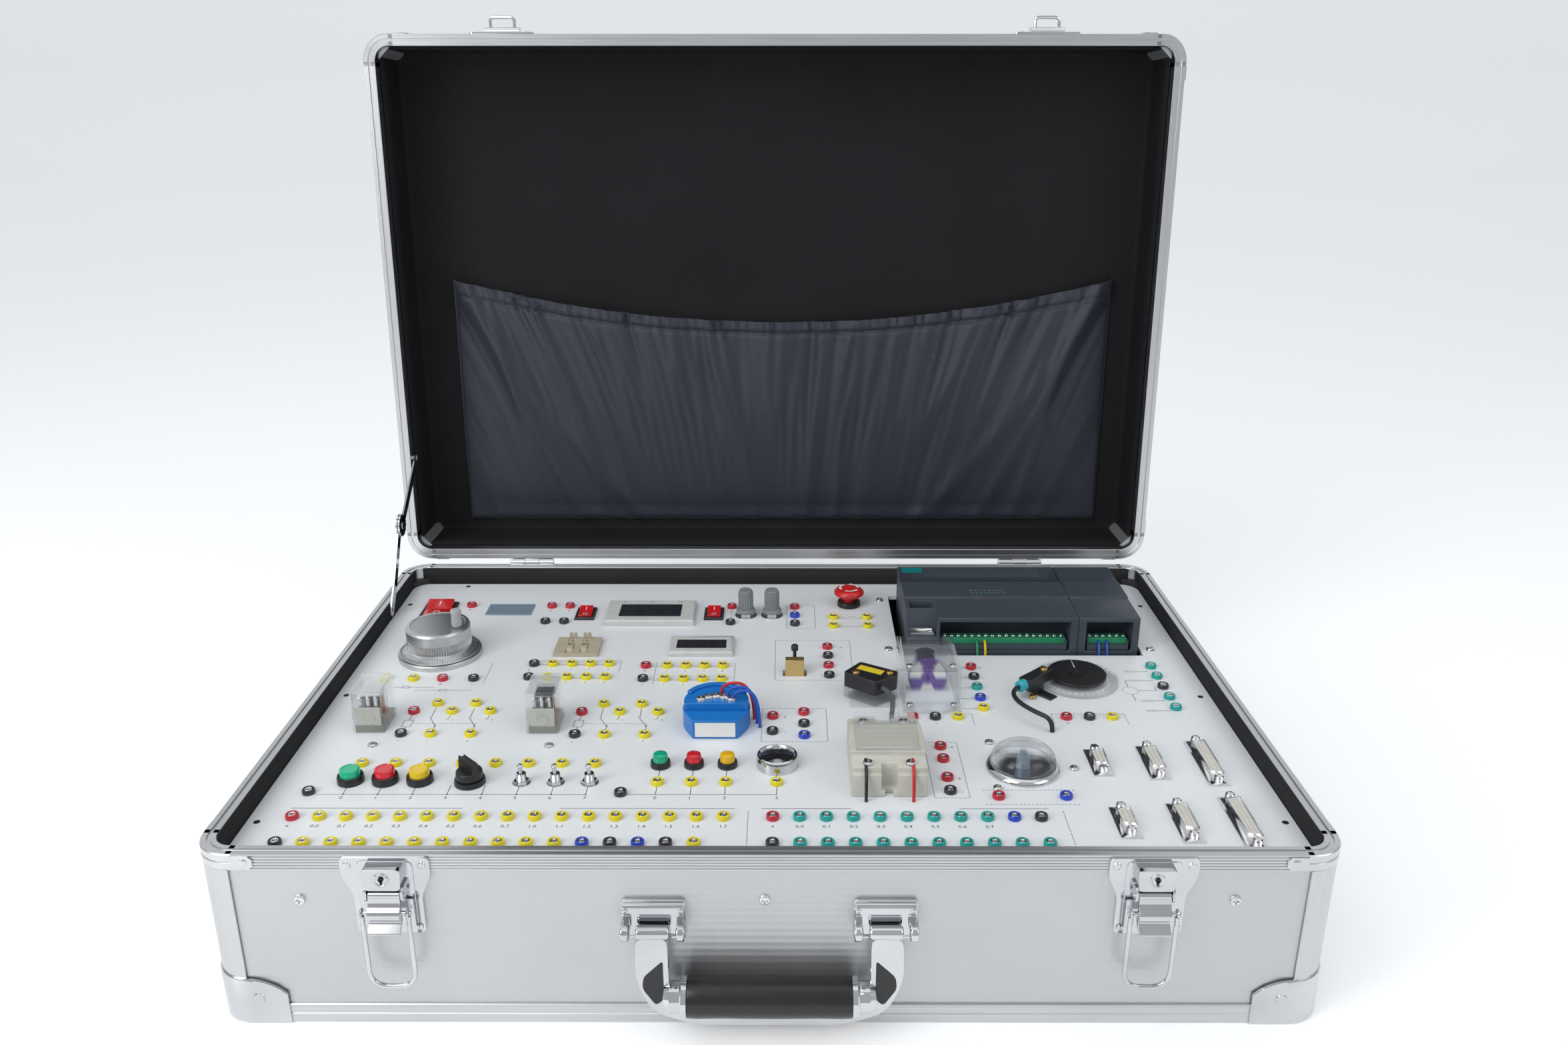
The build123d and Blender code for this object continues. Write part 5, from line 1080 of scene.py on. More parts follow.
screwed = ((84.7, 161), (85, 70), (279.6, 70), (-255, -71), (-142.4, -71.5), (139, -67), (186.7, -98.5),
           (136, -121))
repeat("panel_screws", cross_screw(3.2, 1.7), [(x, y, PLATE, (0, 0, x)) for x, y in screwed], "base", steel,
       slot="steel")


# Push buttons, lamps, selector and emergency stop
# Black moulded collars screwed through the plate. The sprung caps and the lamps' lenses are glossy plastic,
# the selector has a finger bar with a white dot, and the stop button is a red mushroom with white arrows.

black_plastic = moulded("black_plastic", (0.014, 0.014, 0.016), 0.32)
white_mark = finish("white_mark", (0.78, 0.78, 0.76), 0.45, 0.0, uneven(0.4, 0.2, 900.0))
BUTTONS, BUTTON_ROW = {"green": -255.0, "red": -234.0, "yellow": -213.0}, -113
LAMP_X, LAMP_ROW = -68.9, -94.7
SELECTOR, STOP, ARROWS_R = (-182.4, -114.4), (59.3, 152.3), 7.2
ROCKERS = (("main", -267.6, 138.5, 20.6, 12.4), ("supply", -149.5, 132.5, 10.5, 7.6),
           ("output", -48.1, 132.5, 10.5, 7.6))
collars = bmesh.new()
for x in BUTTONS.values():
    turn(collars, x, BUTTON_ROW, PLATE, [(8.0, 0), (8.0, 3.2), (7.6, 4.6), (7.0, 5.0), (6.55, 4.7),
                                         (6.5, 0.25), (0.01, 0.2)], 40)
for x in (LAMP_X, -48.15, -27.4):
    turn(collars, x, LAMP_ROW, PLATE, [(6.2, 0), (6.2, 2.6), (5.8, 3.8), (5.2, 4.0), (4.8, 3.8), (4.75, 1),
                                       (0.01, 1)], 36)
turn(collars, *SELECTOR, PLATE, [(9.4, 0), (9.4, 1.6), (9.0, 3.3), (7.6, 3.5), (0.01, 3.5)], 44)
turn(collars, *STOP, PLATE, [(9.2, 0), (9.2, 2.6), (8.6, 3.9), (5.6, 4.0), (5.35, 0.4), (0.01, 0.3)], 40)
for _, x, y, w, reach in ROCKERS:
    out_x, out_y, in_x, in_y = w / 2 + 2.4, reach + 2.9, w / 2 + 0.35, reach + 1.05
    levels = [(out_x, out_y, 0), (out_x, out_y, 1.5), (out_x - 0.6, out_y - 0.6, 2.2),
              (in_x + 0.3, in_y + 0.3, 2.2), (in_x, in_y, 1.9), (in_x, in_y, -3.0)]
    run(collars, [[(*corner, PLATE + z) for corner in oblong(x - a, x + a, y - b, y + b)]
                  for a, b, z in levels], caps=False)
turn(collars, 15.0, 35.4, PLATE, [(1.3, -3), (1.3, 15.5), (2.6, 16.5), (2.6, 19.5), (1.9, 20.4),
                                  (0.01, 20.5)], 16)
piece("control_collars", collars, "base", black_plastic, node="control_bezels",
      smooth=35)
for colour, tone in (("green", (0.0, 0.50, 0.25)), ("red", (0.72, 0.012, 0.03)),
                     ("yellow", (0.80, 0.56, 0.0))):
    bright = moulded("tinted_" + colour, tone, 0.12, 0.8, Coat_Weight=0.6)
    cap = bmesh.new()
    turn(cap, BUTTONS[colour], BUTTON_ROW, PLATE, [(0.01, 3.0), (6.15, 3.0), (6.15, 7.9), (5.9, 8.6),
                                                   (5.3, 8.95), (4.6, 8.95), (4.4, 8.6), (0.01, 8.55)], 40)
    node = "push_" + colour
    piece("button_cap_" + colour, cap, node + "_body", bright, node=node, smooth=35)
for i, (colour, tone) in enumerate((("green", (0.0, 0.42, 0.22)), ("red", (0.66, 0.012, 0.03)),
                                    ("amber", (0.80, 0.48, 0.0)))):
    lamp = bmesh.new()
    turn(lamp, LAMP_X + 20.75 * i, LAMP_ROW, PLATE, [(4.7, 1), (4.7, 7.2), (4.3, 8.2), (3.4, 8.7),
                                                     (0.01, 8.75)], 32)
    piece("lamp_lens_" + colour, lamp, "base", moulded("lens_" + colour, tone, 0.12, Coat_Weight=0.6),
          node="indicator_lenses" if i == 0 else None, smooth=35)
selector, pointer = bmesh.new(), bmesh.new()
turn(selector, 0, 0, 0, [(0.01, 3.85), (8.1, 3.85), (8.3, 4.6), (7.9, 8.2), (7.3, 8.8), (0.01, 8.85)], 44)
slab(selector, softened([(-2.6, 8), (2.6, 8), (1.9, 16), (-1.9, 16)], 0.8), -7.9, 7.9, "XZ")
turn(pointer, 0, 6.6, 16.0, [(1.15, -0.2), (1.15, 0.12), (0.01, 0.15)], 16)
to_selector = Matrix.Translation((*SELECTOR, PLATE)) @ Matrix.Rotation(radians(45), 4, "Z")
piece("selector", selector, "selector_knob_body", black_plastic, node="selector_knob",
      pose=to_selector, bevel=0.35)
piece("selector_dot", pointer, "selector_knob_body", white_mark, pose=to_selector,
      smooth=32)
mushroom, arrows = bmesh.new(), bmesh.new()
turn(mushroom, *STOP, PLATE, [(0.01, 3.1), (4.95, 3.1), (5.2, 8.8), (10.6, 9.1), (11.8, 10.0), (12.0, 11.2),
                              (11.6, 12.4), (10.2, 13.9), (8.2, 14.7), (5.0, 15.0), (0.01, 15.05)], 48)
piece("stop_mushroom", mushroom, "estop_button_body",
      moulded("stop_red", (0.62, 0.01, 0.012), 0.3, Coat_Weight=0.3), node="estop_button",
      smooth=50)


def ring_patch(bm, x, y, z, corners):
    """One flat face whose corners are pairs of radius and angle about a place."""
    patch(bm, [(x + r * cos(t), y + r * sin(t)) for r, t in corners], z)


# each arrow is a band round the cap that widens at its end and runs to a point
halves = ((0.8, 0.8),) * 7 + ((1.6, 0.8), (0.8, 0.05))
for k in range(3):
    for i, (w, w2) in enumerate(halves):
        a, b = 2 * pi * k / 3 + 0.18 * i, 2 * pi * k / 3 + 0.18 * (i + 1)
        ring_patch(arrows, *STOP, PLATE + 15.08, ((ARROWS_R - w, a), (ARROWS_R - w2, b), (ARROWS_R + w2, b),
                                                  (ARROWS_R + w, a)))
flat_piece("stop_arrows", arrows, "estop_button_body", white_mark)


def rounded_copy(name, node, body, material, bevel, smooth=32):
    """A CAD node's form with its edges broken, which stands for the node."""
    bm = bmesh.new()
    bm.from_mesh(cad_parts[node].data)
    bmesh.ops.remove_doubles(bm, verts=bm.verts, dist=2e-6)
    if bevel:
        bmesh.ops.dissolve_limit(bm, angle_limit=radians(0.6), verts=bm.verts, edges=bm.edges)
    bm.transform(Matrix.Scale(1000, 4))
    piece(name, bm, body, material, node=node, smooth=smooth, bevel=bevel)


rocker_red = moulded("rocker_red", (0.60, 0.008, 0.012), 0.18, Coat_Weight=0.5)
for name, x, y, w, reach in ROCKERS:
    node = "rocker_" + name
    rounded_copy("switch_" + name, node, node + "_body", rocker_red, 0.5)
    marks = bmesh.new()
    tilt = Matrix.Translation((x, y, PLATE + 0.6)) @ Matrix.Rotation(radians(10), 4, "X")
    tall = 5.5 if name == "main" else w * 0.36
    for half, sign in ((1, "I"), (-1, "O")):
        slope = Matrix.Rotation(half * atan2(1.6, reach), 4, "X")
        set_type(marks, sign, tall, tilt @ Matrix.Translation((0, half * 0.5 * reach, 2.9)) @ slope)
    flat_piece(node + "_marks", marks, node + "_body", white_mark)


# Toggles and knobs
# Chromed bats in threaded bushings with a hexagon nut and a washer, and ribbed grey knobs on the spindles of
# two potentiometers, over the nuts that hold them.

def angular(bm, x, y, levels, sides, start=0.0, cut=lambda k: 0.0):
    """Upright form of many sides about a place, whose corners are drawn in by a cut."""
    rows = []
    for r, z in levels:
        turns = [(r - cut(k), 2 * pi * k / sides + start) for k in range(sides)]
        rows.append([(x + reach * cos(a), y + reach * sin(a), PLATE + z) for reach, a in turns])
    run(bm, rows)


fittings = bmesh.new()
for i, x in enumerate((-151.1, -130.5, -109.9)):
    y = -114.9
    turn(fittings, x, y, PLATE, [(5.4, 0), (5.4, 0.5), (3.0, 0.5)], 28)
    angular(fittings, x, y, [(4.7, 0.4), (4.9, 0.7), (4.9, 2.0), (4.6, 2.4)], 6, 0.3)
    thread = [(3.0, 2.2)]
    for j in range(7):
        thread += [(3.05, 2.6 + 0.6 * j), (2.75, 2.9 + 0.6 * j)]
    turn(fittings, x, y, PLATE, thread + [(2.9, 6.9), (2.35, 7.0), (2.3, 2.3), (0.01, 2.3)], 28)
    bat = bmesh.new()
    turn(bat, 0, 0, 0, [(0.01, -1.9), (1.05, -1.7), (1.1, 2.0), (1.35, 5.5), (1.75, 8.2), (1.7, 8.9),
                        (1.1, 9.25), (0.01, 9.3)], 24)
    pose = Matrix.Translation((x, y, PLATE + 4.5)) @ Matrix.Rotation(radians(12), 4, "X")
    node = f"toggle_lever_{i + 1}"
    piece(f"toggle_bat_{i + 1}", bat, node + "_body", chrome, node=node, pose=pose, smooth=40)
for i, x in enumerate((-22.9, -2.4)):
    y = 131.7
    angular(fittings, x, y, [(6.6, 0.2), (6.9, 0.6), (6.9, 2.6), (6.5, 3.2)], 6)
    turn(fittings, x, y, PLATE, [(8.6, 0), (8.6, 0.5), (4, 0.6)], 32)
    knob = bmesh.new()
    turn(knob, x, y, PLATE, [(3.4, 3.65), (7.3, 3.65), (7.5, 4.0), (7.2, 5.6), (6.3, 6.2), (5.0, 6.3)], 40)
    angular(knob, x, y, [(5.9, 6.0), (5.85, 19.6), (5.5, 20.6)], 72, 0.0, lambda k: 0.55 if k % 4 > 1 else 0)
    turn(knob, x, y, PLATE, [(5.2, 20.4), (5.2, 21.4), (4.7, 22.0), (0.01, 22.0)], 40)
    node = f"pot_knob_{i + 1}"
    piece(f"ribbed_knob_{i + 1}", knob, node + "_body", moulded("grey_knob", (0.24, 0.26, 0.27), 0.45),
          node=node)
piece("bushings_and_nuts", fittings, "base", nickel, node="panel_fasteners", smooth=28)


# Encoder handwheel
# Turned aluminium: a fixed flange, a wheel over it with the dial's marks and a knurled rim, and a moulded
# finger handle that spins on its pin.

flange, wheel, finger = bmesh.new(), bmesh.new(), bmesh.new()
wx, wy = -246.0, 61.7
pin_x, pin_y = wx + 15.5, wy - 5.4


def lathed(s, tone):
    """Turned metal, its streaks flat across the axis."""
    streak = s.noise(s.place((60, 60, 900)), 1.0, 3.0)
    return {"Roughness": 0.28 + 0.16 * streak,
            "Base Color": s.noise(s.place(), 30.0).mixed(tone, (0.68, 0.69, 0.70, 1))}


turned_metal = finish("turned_aluminium", (0.52, 0.53, 0.54), 0.35, 1.0, lathed)
turn(flange, wx, wy, PLATE, [(30.0, 0), (30.0, 3.4), (29.6, 3.95), (0.01, 4.0)], 96)
piece("dial_flange", flange, "base", turned_metal, node="encoder_flange")
turn(wheel, wx, wy, PLATE, [(0.01, 4.35), (28.6, 4.35), (28.6, 5.0), (24.6, 7.3), (23.4, 7.6), (22.6, 8.2)],
     96)
angular(wheel, wx, wy, [(22.9, 8.0), (23.2, 8.6), (23.2, 14.6), (22.9, 15.2)], 160, 0.0,
        lambda k: 0.8 if k % 2 else 0)
turn(wheel, wx, wy, PLATE, [(22.5, 15.0), (23.1, 15.8), (23.1, 22.8), (22.3, 24.3), (21.2, 24.7),
                            (19.6, 24.75), (19.3, 24.5), (0.01, 24.5)], 96)
turn(wheel, pin_x, pin_y, PLATE, [(1.2, 24.4), (1.2, 36.0), (0.01, 36.0)], 16)
piece("knurled_wheel", wheel, "handwheel_body", turned_metal, node="handwheel", smooth=28)
turn(finger, pin_x, pin_y, PLATE, [(1.25, 25.1), (2.9, 25.05), (3.4, 25.6), (3.9, 28.0), (3.6, 31.5),
                                   (3.5, 34.5), (3.9, 37.2), (3.4, 38.3), (2.6, 38.5), (0.01, 38.5),
                                   (0.01, 36.3), (1.25, 36.3)], 32, closed=True)
piece("finger_grip", finger, "finger_handle_body", moulded("pale_grip", (0.46, 0.47, 0.48), 0.3),
      node="finger_handle", smooth=40)
ticks = bmesh.new()
centre = Vector((wx, wy, PLATE))
for k in range(100):
    a, r0 = 2 * pi * k / 100, 28.3
    r1 = r0 - (1.5 if k % 10 else 2.6)
    z0, z1 = 5.07 + (28.6 - r0) * 0.575 + 0.05, 5.07 + (28.6 - r1) * 0.575 + 0.05
    way, side = Vector((cos(a), sin(a), 0)), Vector((-sin(a), cos(a), 0)) * 0.2
    corners = ((r0, -1, z0), (r0, 1, z0), (r1, 1, z1), (r1, -1, z1))
    ticks.faces.new([ticks.verts.new(centre + way * r + side * half + Vector((0, 0, z)))
                     for r, half, z in corners])
flat_piece("dial_marks", ticks, "handwheel_body", ink)


# Meters and code switch
# Moulded bezels clipped into the plate. Dark lenses cover the windows; the code switch has two toothed
# wheels, with a number and a pair of pushers for each digit.

white_plastic = moulded("white_plastic", (0.62, 0.63, 0.62), 0.35)
dark_glass = finish("dark_window", (0.012, 0.014, 0.018), 0.08, 0.0, uneven(0.05, 0.08, 200.0),
                    Coat_Weight=0.6)
grey_glass = finish("blue_grey_window", (0.20, 0.27, 0.34), 0.12, 0.0, uneven(0.08, 0.08, 200.0),
                    Coat_Weight=0.5)
clear = finish("clear_plastic", (0.93, 0.96, 0.97), 0.06, 0.0, uneven(0.03, 0.07, 90.0),
               Transmission_Weight=1.0, IOR=1.12, Coat_Weight=0.7, Alpha=0.45)
unlit = finish("unlit_digits", (0.030, 0.015, 0.016), 0.4, 0.0, uneven(0.3, 0.2, 500.0))
rounded_copy("meter_bezels", "meter_cases", "base", white_plastic, 0.3)
panes, ac_pane, shown = bmesh.new(), bmesh.new(), bmesh.new()
for x, y, h, wide, deep in ((-97.8, 131, 5, 48.5, 24), (-54, 72, 4, 37, 15.3)):
    block(panes, x - wide / 2 + 0.2, x + wide / 2 - 0.2, y - deep / 2 + 0.2, y + deep / 2 - 0.2,
          PLATE + h - 1.7, PLATE + h - 0.35)
block(ac_pane, -229.3, -193.1, 131.05, 151.75, PLATE, PLATE + 0.82)
for i in range(4):
    printed(shown, "8", -67.5 + 9 * i, 72, 6.6, PLATE + 3.66)
for x, y, words in ((-120, 146.8, "0"), (-97.8, 146.8, "50"), (-76, 146.8, "100")):
    printed(shown, words, x, y - 0.5, 2.2, PLATE + 5.02)
piece("window_panes", panes, "base", dark_glass, node="clear_covers", bevel=0.2)
piece("supply_pane", ac_pane, "base", grey_glass, bevel=0.3)
flat_piece("shown_digits", shown, "base", unlit)
beige = moulded("beige_plastic", (0.50, 0.44, 0.33), 0.4)
rounded_copy("code_switch", "code_switch_housing", "base", beige, 0.3)
for i in (1, 2):
    rounded_copy(f"code_wheel_{i}", f"digit_wheel_{i}", f"digit_wheel_{i}_body", beige, 0.2,
                 40)
code_marks, pushers = bmesh.new(), bmesh.new()
for x in (-151.25, -140.75):
    printed(code_marks, "0", x, 80.1, 3.4, PLATE + 2.3)
    for dx in (-1.6, 1.6):
        block(pushers, x + dx - 1.2, x + dx + 1.2, 82.6, 84.4, PLATE + 2.9, PLATE + 7.5)
    for y, sign in ((60.2, "-"), (83.6, "+")):
        printed(code_marks, sign, x + 4.2, y, 2.2, PLATE + 3.05)
piece("code_pushers", pushers, "base", beige, bevel=0.4)
flat_piece("code_marks", code_marks, "base", ink)


# Relays
# Two plug-in relays under clear covers: a grey base, a coil wound with copper on a pale bobbin, a nickel yoke
# and armature, and three contact strips.

def wound(s, tone):
    """Turns of fine wire lying round an upright coil."""
    _, _, z = s.place().parts()
    return {"Normal": s.raised(z.wave(0.45), 0.12), "Roughness": 0.25 + 0.15 * s.noise(s.place(), 700.0)}


copper = finish("coil_wire", (0.55, 0.20, 0.08), 0.3, 1.0, wound)
pale = moulded("pale_plastic", (0.62, 0.62, 0.56), 0.4)
covers, bases, coils, yokes, bobbins = [bmesh.new() for _ in range(5)]
z, tall, ceiling = PLATE, 30, 28.6
for x, y in RELAYS:
    shape = softened(oblong(x - 10.25, x + 10.25, y - 14, y + 14), 1.4)
    inner = softened(oblong(x - 9.35, x + 9.35, y - 13.1, y + 13.1), 0.8)
    top = [(x + (a - x) * 0.93, y + (b - y) * 0.95) for a, b in shape]
    skin = ((inner, 0.05), (shape, 0.05), (shape, 29), (top, tall))
    run(covers, [[(a, b, z + h) for a, b in outline] for outline, h in skin], caps=False)
    covers.faces.new([covers.verts.new((a, b, z + tall)) for a, b in top])
    covers.faces.new([covers.verts.new((a, b, z + ceiling)) for a, b in reversed(inner)])
    run(covers, [[(a, b, z + h) for a, b in inner] for h in (0.05, ceiling)], caps=False)
    block(bases, x - 9, x + 9, y - 12.6, y + 12.6, z + 0.05, z + 5)
    turn(coils, x, y + 3.5, z, [(5.4, 6.4), (5.8, 6.6), (5.8, 19.6), (5.4, 19.8)], 28)
    turn(bobbins, x, y + 3.5, z, [(6.6, 5.1), (6.6, 6.4), (2, 6.4)], 28)
    turn(bobbins, x, y + 3.5, z, [(6.6, 19.8), (6.6, 20.8), (2, 20.8)], 28)
    block(bobbins, x - 8, x + 8, y - 12.2, y - 10.4, z + 3, z + 17)
    turn(bobbins, x, y - 12.2, z + 10, [(4.2, 0), (4.0, 0.5), (3.2, 0.5), (3.0, 0.1), (0.01, 0.1)], 24, "Y",
         -1)
    block(yokes, x - 6.5, x + 6.5, y - 5.3, y - 3.9, z + 5, z + 22.8)
    block(yokes, x - 6, x + 6, y - 5.3, y + 9.3, z + 21, z + 22.4)
    for i in range(3):
        block(yokes, x - 6.2 + 5 * i, x - 4.2 + 5 * i, y - 9.6, y - 9.1, z + 12.5, z + 25 - i)
        turn(yokes, x - 5.2 + 5 * i, y - 9.35, z, [(0.9, 22.6), (1.1, 23.2), (0.6, 24.2), (0.01, 24.2)], 12)
piece("relay_covers", covers, "base", clear)
piece("relay_bases", bases, "base", moulded("relay_base", (0.30, 0.29, 0.26), 0.35), node="relay_cores",
      bevel=0.3)
piece("relay_coils", coils, "base", copper, smooth=40)
piece("relay_yokes", yokes, "base", nickel, bevel=0.15)
piece("relay_bobbins", bobbins, "base", pale, bevel=0.25)


# Motor, stepper and sensors
# A small motor with its coloured disc in a glued acrylic housing, a stepper's black disc in a clear ring with
# marks, a light barrier on a clear block and an inductive sensor on a bent foot.

STEPPER = (213.9, 21)
MOTOR_X, AXLE = 107.2, PLATE + 8.8
SENSOR_TOP = PLATE + 19
walls, ring_part, motor, scale_marks = [bmesh.new() for _ in range(4)]
for x0, x1, y0, y1, z0, z1 in (
        (87.45, 90.2, -16, 38, 0, 26), (124.2, 126.95, -16, 38, 0, 26), (90.25, 124.15, -16, -13.2, 0, 26),
        (90.25, 124.15, 35.2, 38, 0, 26), (90.25, 124.15, -13.15, 35.15, 23.2, 26),
        (87.45, 126.95, -28, -16.05, 0, 3)):
    block(walls, x0, x1, y0, y1, PLATE + z0 + 0.02, PLATE + z1)
piece("motor_housing", walls, "base", clear, bevel=0.3)
screwed = [(x, y, PLATE + z, (0, 0, x)) for x in (92.5, 121.9) for y, z in ((-10, 26.05), (-22, 3.05))]
repeat("housing_screws", cross_screw(2.5, 1.4), screwed, "base", nickel, slot="steel")
turn(ring_part, *STEPPER, PLATE, [(29, 0.02), (29, 2.2), (28.7, 2.5), (23.4, 2.5), (23.4, 0.02)], 72,
     closed=True)
block(ring_part, 52, 84, -19.5, 11.5, PLATE + 0.02, PLATE + 0.4)
piece("stepper_ring", ring_part, "base", clear)
turn(motor, MOTOR_X, 13, AXLE, [(2.2, 0), (2.2, 2), (7.2, 2), (8, 2.8), (8, 19), (7.2, 20), (0.01, 20)], 40,
     "Y")
block(motor, 100, 114.4, 18, 30, PLATE + 0.02, PLATE + 4)
turn(motor, *STEPPER, PLATE, [(5, 0), (5, 3.7), (1.15, 3.7), (1.15, 6.4), (0.01, 6.4)], 32)
piece("motor_cans", motor, "base", nickel, node="motor_body", smooth=32)
disc, disc_marks = bmesh.new(), bmesh.new()
rim = [(1.25, -2), (13.3, -2), (13.6, -1.7), (13.6, -0.3), (13.3, 0), (3.5, 0), (3.5, 3), (1.25, 3)]
turn(disc, MOTOR_X, 9, AXLE, rim, 56, "Y", closed=True)
piece("purple_disc", disc, "motor_disc_body", moulded("purple_plastic", (0.17, 0.10, 0.36), 0.3),
      node="motor_disc", smooth=40)
for k in range(3):
    for i in range(6):
        a, b = 2 * pi * k / 3 + 0.17 * i, 2 * pi * k / 3 + 0.17 * (i + 1)
        for y in (6.95, 9.05):
            disc_marks.faces.new([disc_marks.verts.new((MOTOR_X + r * cos(t), y, AXLE + r * sin(t)))
                                  for r, t in ((5, a), (13, a), (13, b), (5, b))])
flat_piece("disc_sectors", disc_marks, "motor_disc_body", white_mark)
plate_disc = bmesh.new()
rim = [(1.25, 4), (20.2, 4), (20.5, 4.3), (20.5, 5.7), (20.2, 6), (6, 6), (6, 6.9), (1.25, 6.9)]
turn(plate_disc, *STEPPER, PLATE, rim, 72, closed=True)
piece("black_disc", plate_disc, "stepper_disc_body", black_plastic, node="stepper_disc",
      smooth=40)
needle = bmesh.new()
patch(needle, [(213.5, 28), (214.3, 28), (214.0, 40.8), (213.8, 40.8)], PLATE + 6.06)
flat_piece("disc_needle", needle, "stepper_disc_body", white_mark)
centre, r0 = Vector(STEPPER), 24.6
for k in range(40):
    a, r1 = 2 * pi * k / 40, 27.6 if k % 5 else 28.4
    way, side = Vector((cos(a), sin(a))), Vector((-sin(a), cos(a))) * 0.16
    near, far = centre + way * r0, centre + way * r1
    patch(scale_marks, [near - side, near + side, far + side, far - side], PLATE + 2.56)
flat_piece("ring_marks", scale_marks, "base", ink)
outline = [(60.4, 11.8), (85.4, -3.1), (84.2, -9.2), (68.9, -19.7), (48.1, -3.9)]
clear_foot, head, label, cyan = [bmesh.new() for _ in range(4)]
slab(clear_foot, softened(outline, 1.5), PLATE + 0.45, PLATE + 7.95)
slab(head, softened(outline, 1.8), PLATE + 8.02, SENSOR_TOP)
piece("light_barrier_foot", clear_foot, "base", clear, bevel=0.2)
to_prox = Matrix.Translation((181.5, 4, PLATE)) @ Matrix.Rotation(radians(43), 4, "Z")
bar = bmesh.new()
block(bar, -13.5, 13.5, -4.5, 4.5, 6, 14)
block(bar, -4, 4, -4.4, 4.4, 1.2, 6.05)
block(bar, -4, 4, -16, 4.4, 0.02, 1.2)
bar.transform(to_prox)
turn(cyan, 0, 0, 0, [(4.0, 13.4), (4.0, 18.6), (3.2, 19.5), (0.01, 19.5)], 28, "X", -1)
cyan.transform(to_prox @ Matrix.Translation((0, 0, 10)))
piece("sensor_heads", head, "base", black_plastic, node="sensors", bevel=0.5, smooth=32)
piece("sensor_bar", bar, "base", black_plastic, bevel=0.5, smooth=32)
piece("sensor_nose", cyan, "base", moulded("cyan_nose", (0.03, 0.42, 0.52), 0.3), smooth=40)
patch(label, [(60.5, 6.5), (76.5, -3.0), (73.0, -8.9), (57.0, 0.6)], SENSOR_TOP + 0.05)
flat_piece("bare_label", label, "base", moulded("yellow_label", (0.80, 0.62, 0.03), 0.4))
screw_brass = finish("brass", (0.70, 0.48, 0.17), 0.25, 1.0, brushed((300, 300, 60), (0.55, 0.36, 0.12)))
screwed = [(x, y, SENSOR_TOP, (0, 0, x)) for x, y in ((79.6, -5.8), (56.5, -5.3))]
screwed += [(178.2, -6.3, PLATE + 1.2), (187.9, 9.9, PLATE + 14)]
repeat("brass_screws", cross_screw(2.6, 1.4), screwed, "base", screw_brass, slot="brass")
# the heater and the connector pins have the plain brass that comes with the frame
brass = bpy.data.materials["brass"]
rounded_copy("heater", "heater_block", "base", brass, 0.35)


# Solid state relay, transmitter, buzzer and signal lamp
# The relay is a cream block with stepped screw terminals under a clear cover. The transmitter is a blue puck
# with a bare label, the buzzer a chromed can with a pierced top, the lamp a dish and bulb under a clear dome.

rounded_copy("relay_block", "ssr_body", "base", moulded("cream_plastic", (0.63, 0.62, 0.55), 0.4), 0.6)
TRANSMITTER, BUZZER, LAMP = (-36.8, -42), (3.4, -93.9), (154.9, -97.6)
lid_plate = bmesh.new()
block(lid_plate, 50.7, 89.5, -82.1, -71.4, PLATE + 19.1, PLATE + 24.9)
block(lid_plate, 50.7, 89.5, -115.4, -82.2, PLATE + 22.6, PLATE + 24.9)
piece("terminal_cover", lid_plate, "base", clear, bevel=0.4)
faces = bmesh.new()
for y in (-86, -92, -106, -112):
    patch(faces, oblong(55, 85, y, y + 0.5), PLATE + 22.58)
block(faces, -49.8, -23.8, -62.35, -61.98, PLATE + 1.6, PLATE + 11.6)
flat_piece("bare_labels", faces, "base", white_mark)
screwed = [(x, y, PLATE + 19, (0, 0, 0.4 + x)) for x in (57.5, 82.7) for y in (-124.2, -75)]
screwed += [(-46.8 + 5.0 * i, -42.5 + 4.2 * sin(pi * i / 4), PLATE + 18, (0, 0, i)) for i in range(5)]
repeat("terminal_screws", cross_screw(3.4, 2.0), screwed, "base", nickel, slot="steel")
puck = bmesh.new()
x, y = TRANSMITTER
curve_of = [radians(-28 + 236 * i / 40) for i in range(41)]
slab(puck, [(x + 22 * cos(a), y + 22 * sin(a)) for a in curve_of] + [(-51.3, -62), (-22.3, -62)], PLATE,
     PLATE + 13)
slab(puck, [(x + 21.2 * cos(a), y + 21.2 * sin(a)) for a in curve_of[2:-2]], PLATE + 13, PLATE + 18)
arc = [radians(22 + 136 * i / 24) for i in range(25)]
lip = ((21.2, 18), (21.2, 20), (18, 20), (18, 18))
run(puck, [[(x + r * cos(a), y + r * sin(a), PLATE + z) for r, z in lip] for a in arc])
piece("transmitter", puck, "base", moulded("blue_plastic", (0.01, 0.19, 0.60), 0.3), node="transmitter_body",
      bevel=0.4, smooth=32)
can, pierced, dish, bulb, dome = [bmesh.new() for _ in range(5)]
turn(can, *BUZZER, PLATE, [(13, 0), (13, 6.2), (12.4, 7.6), (11.3, 8), (10.4, 7.4), (10.1, 6.6), (6, 7.6),
                           (2, 8.1), (0.01, 8.15)], 56)
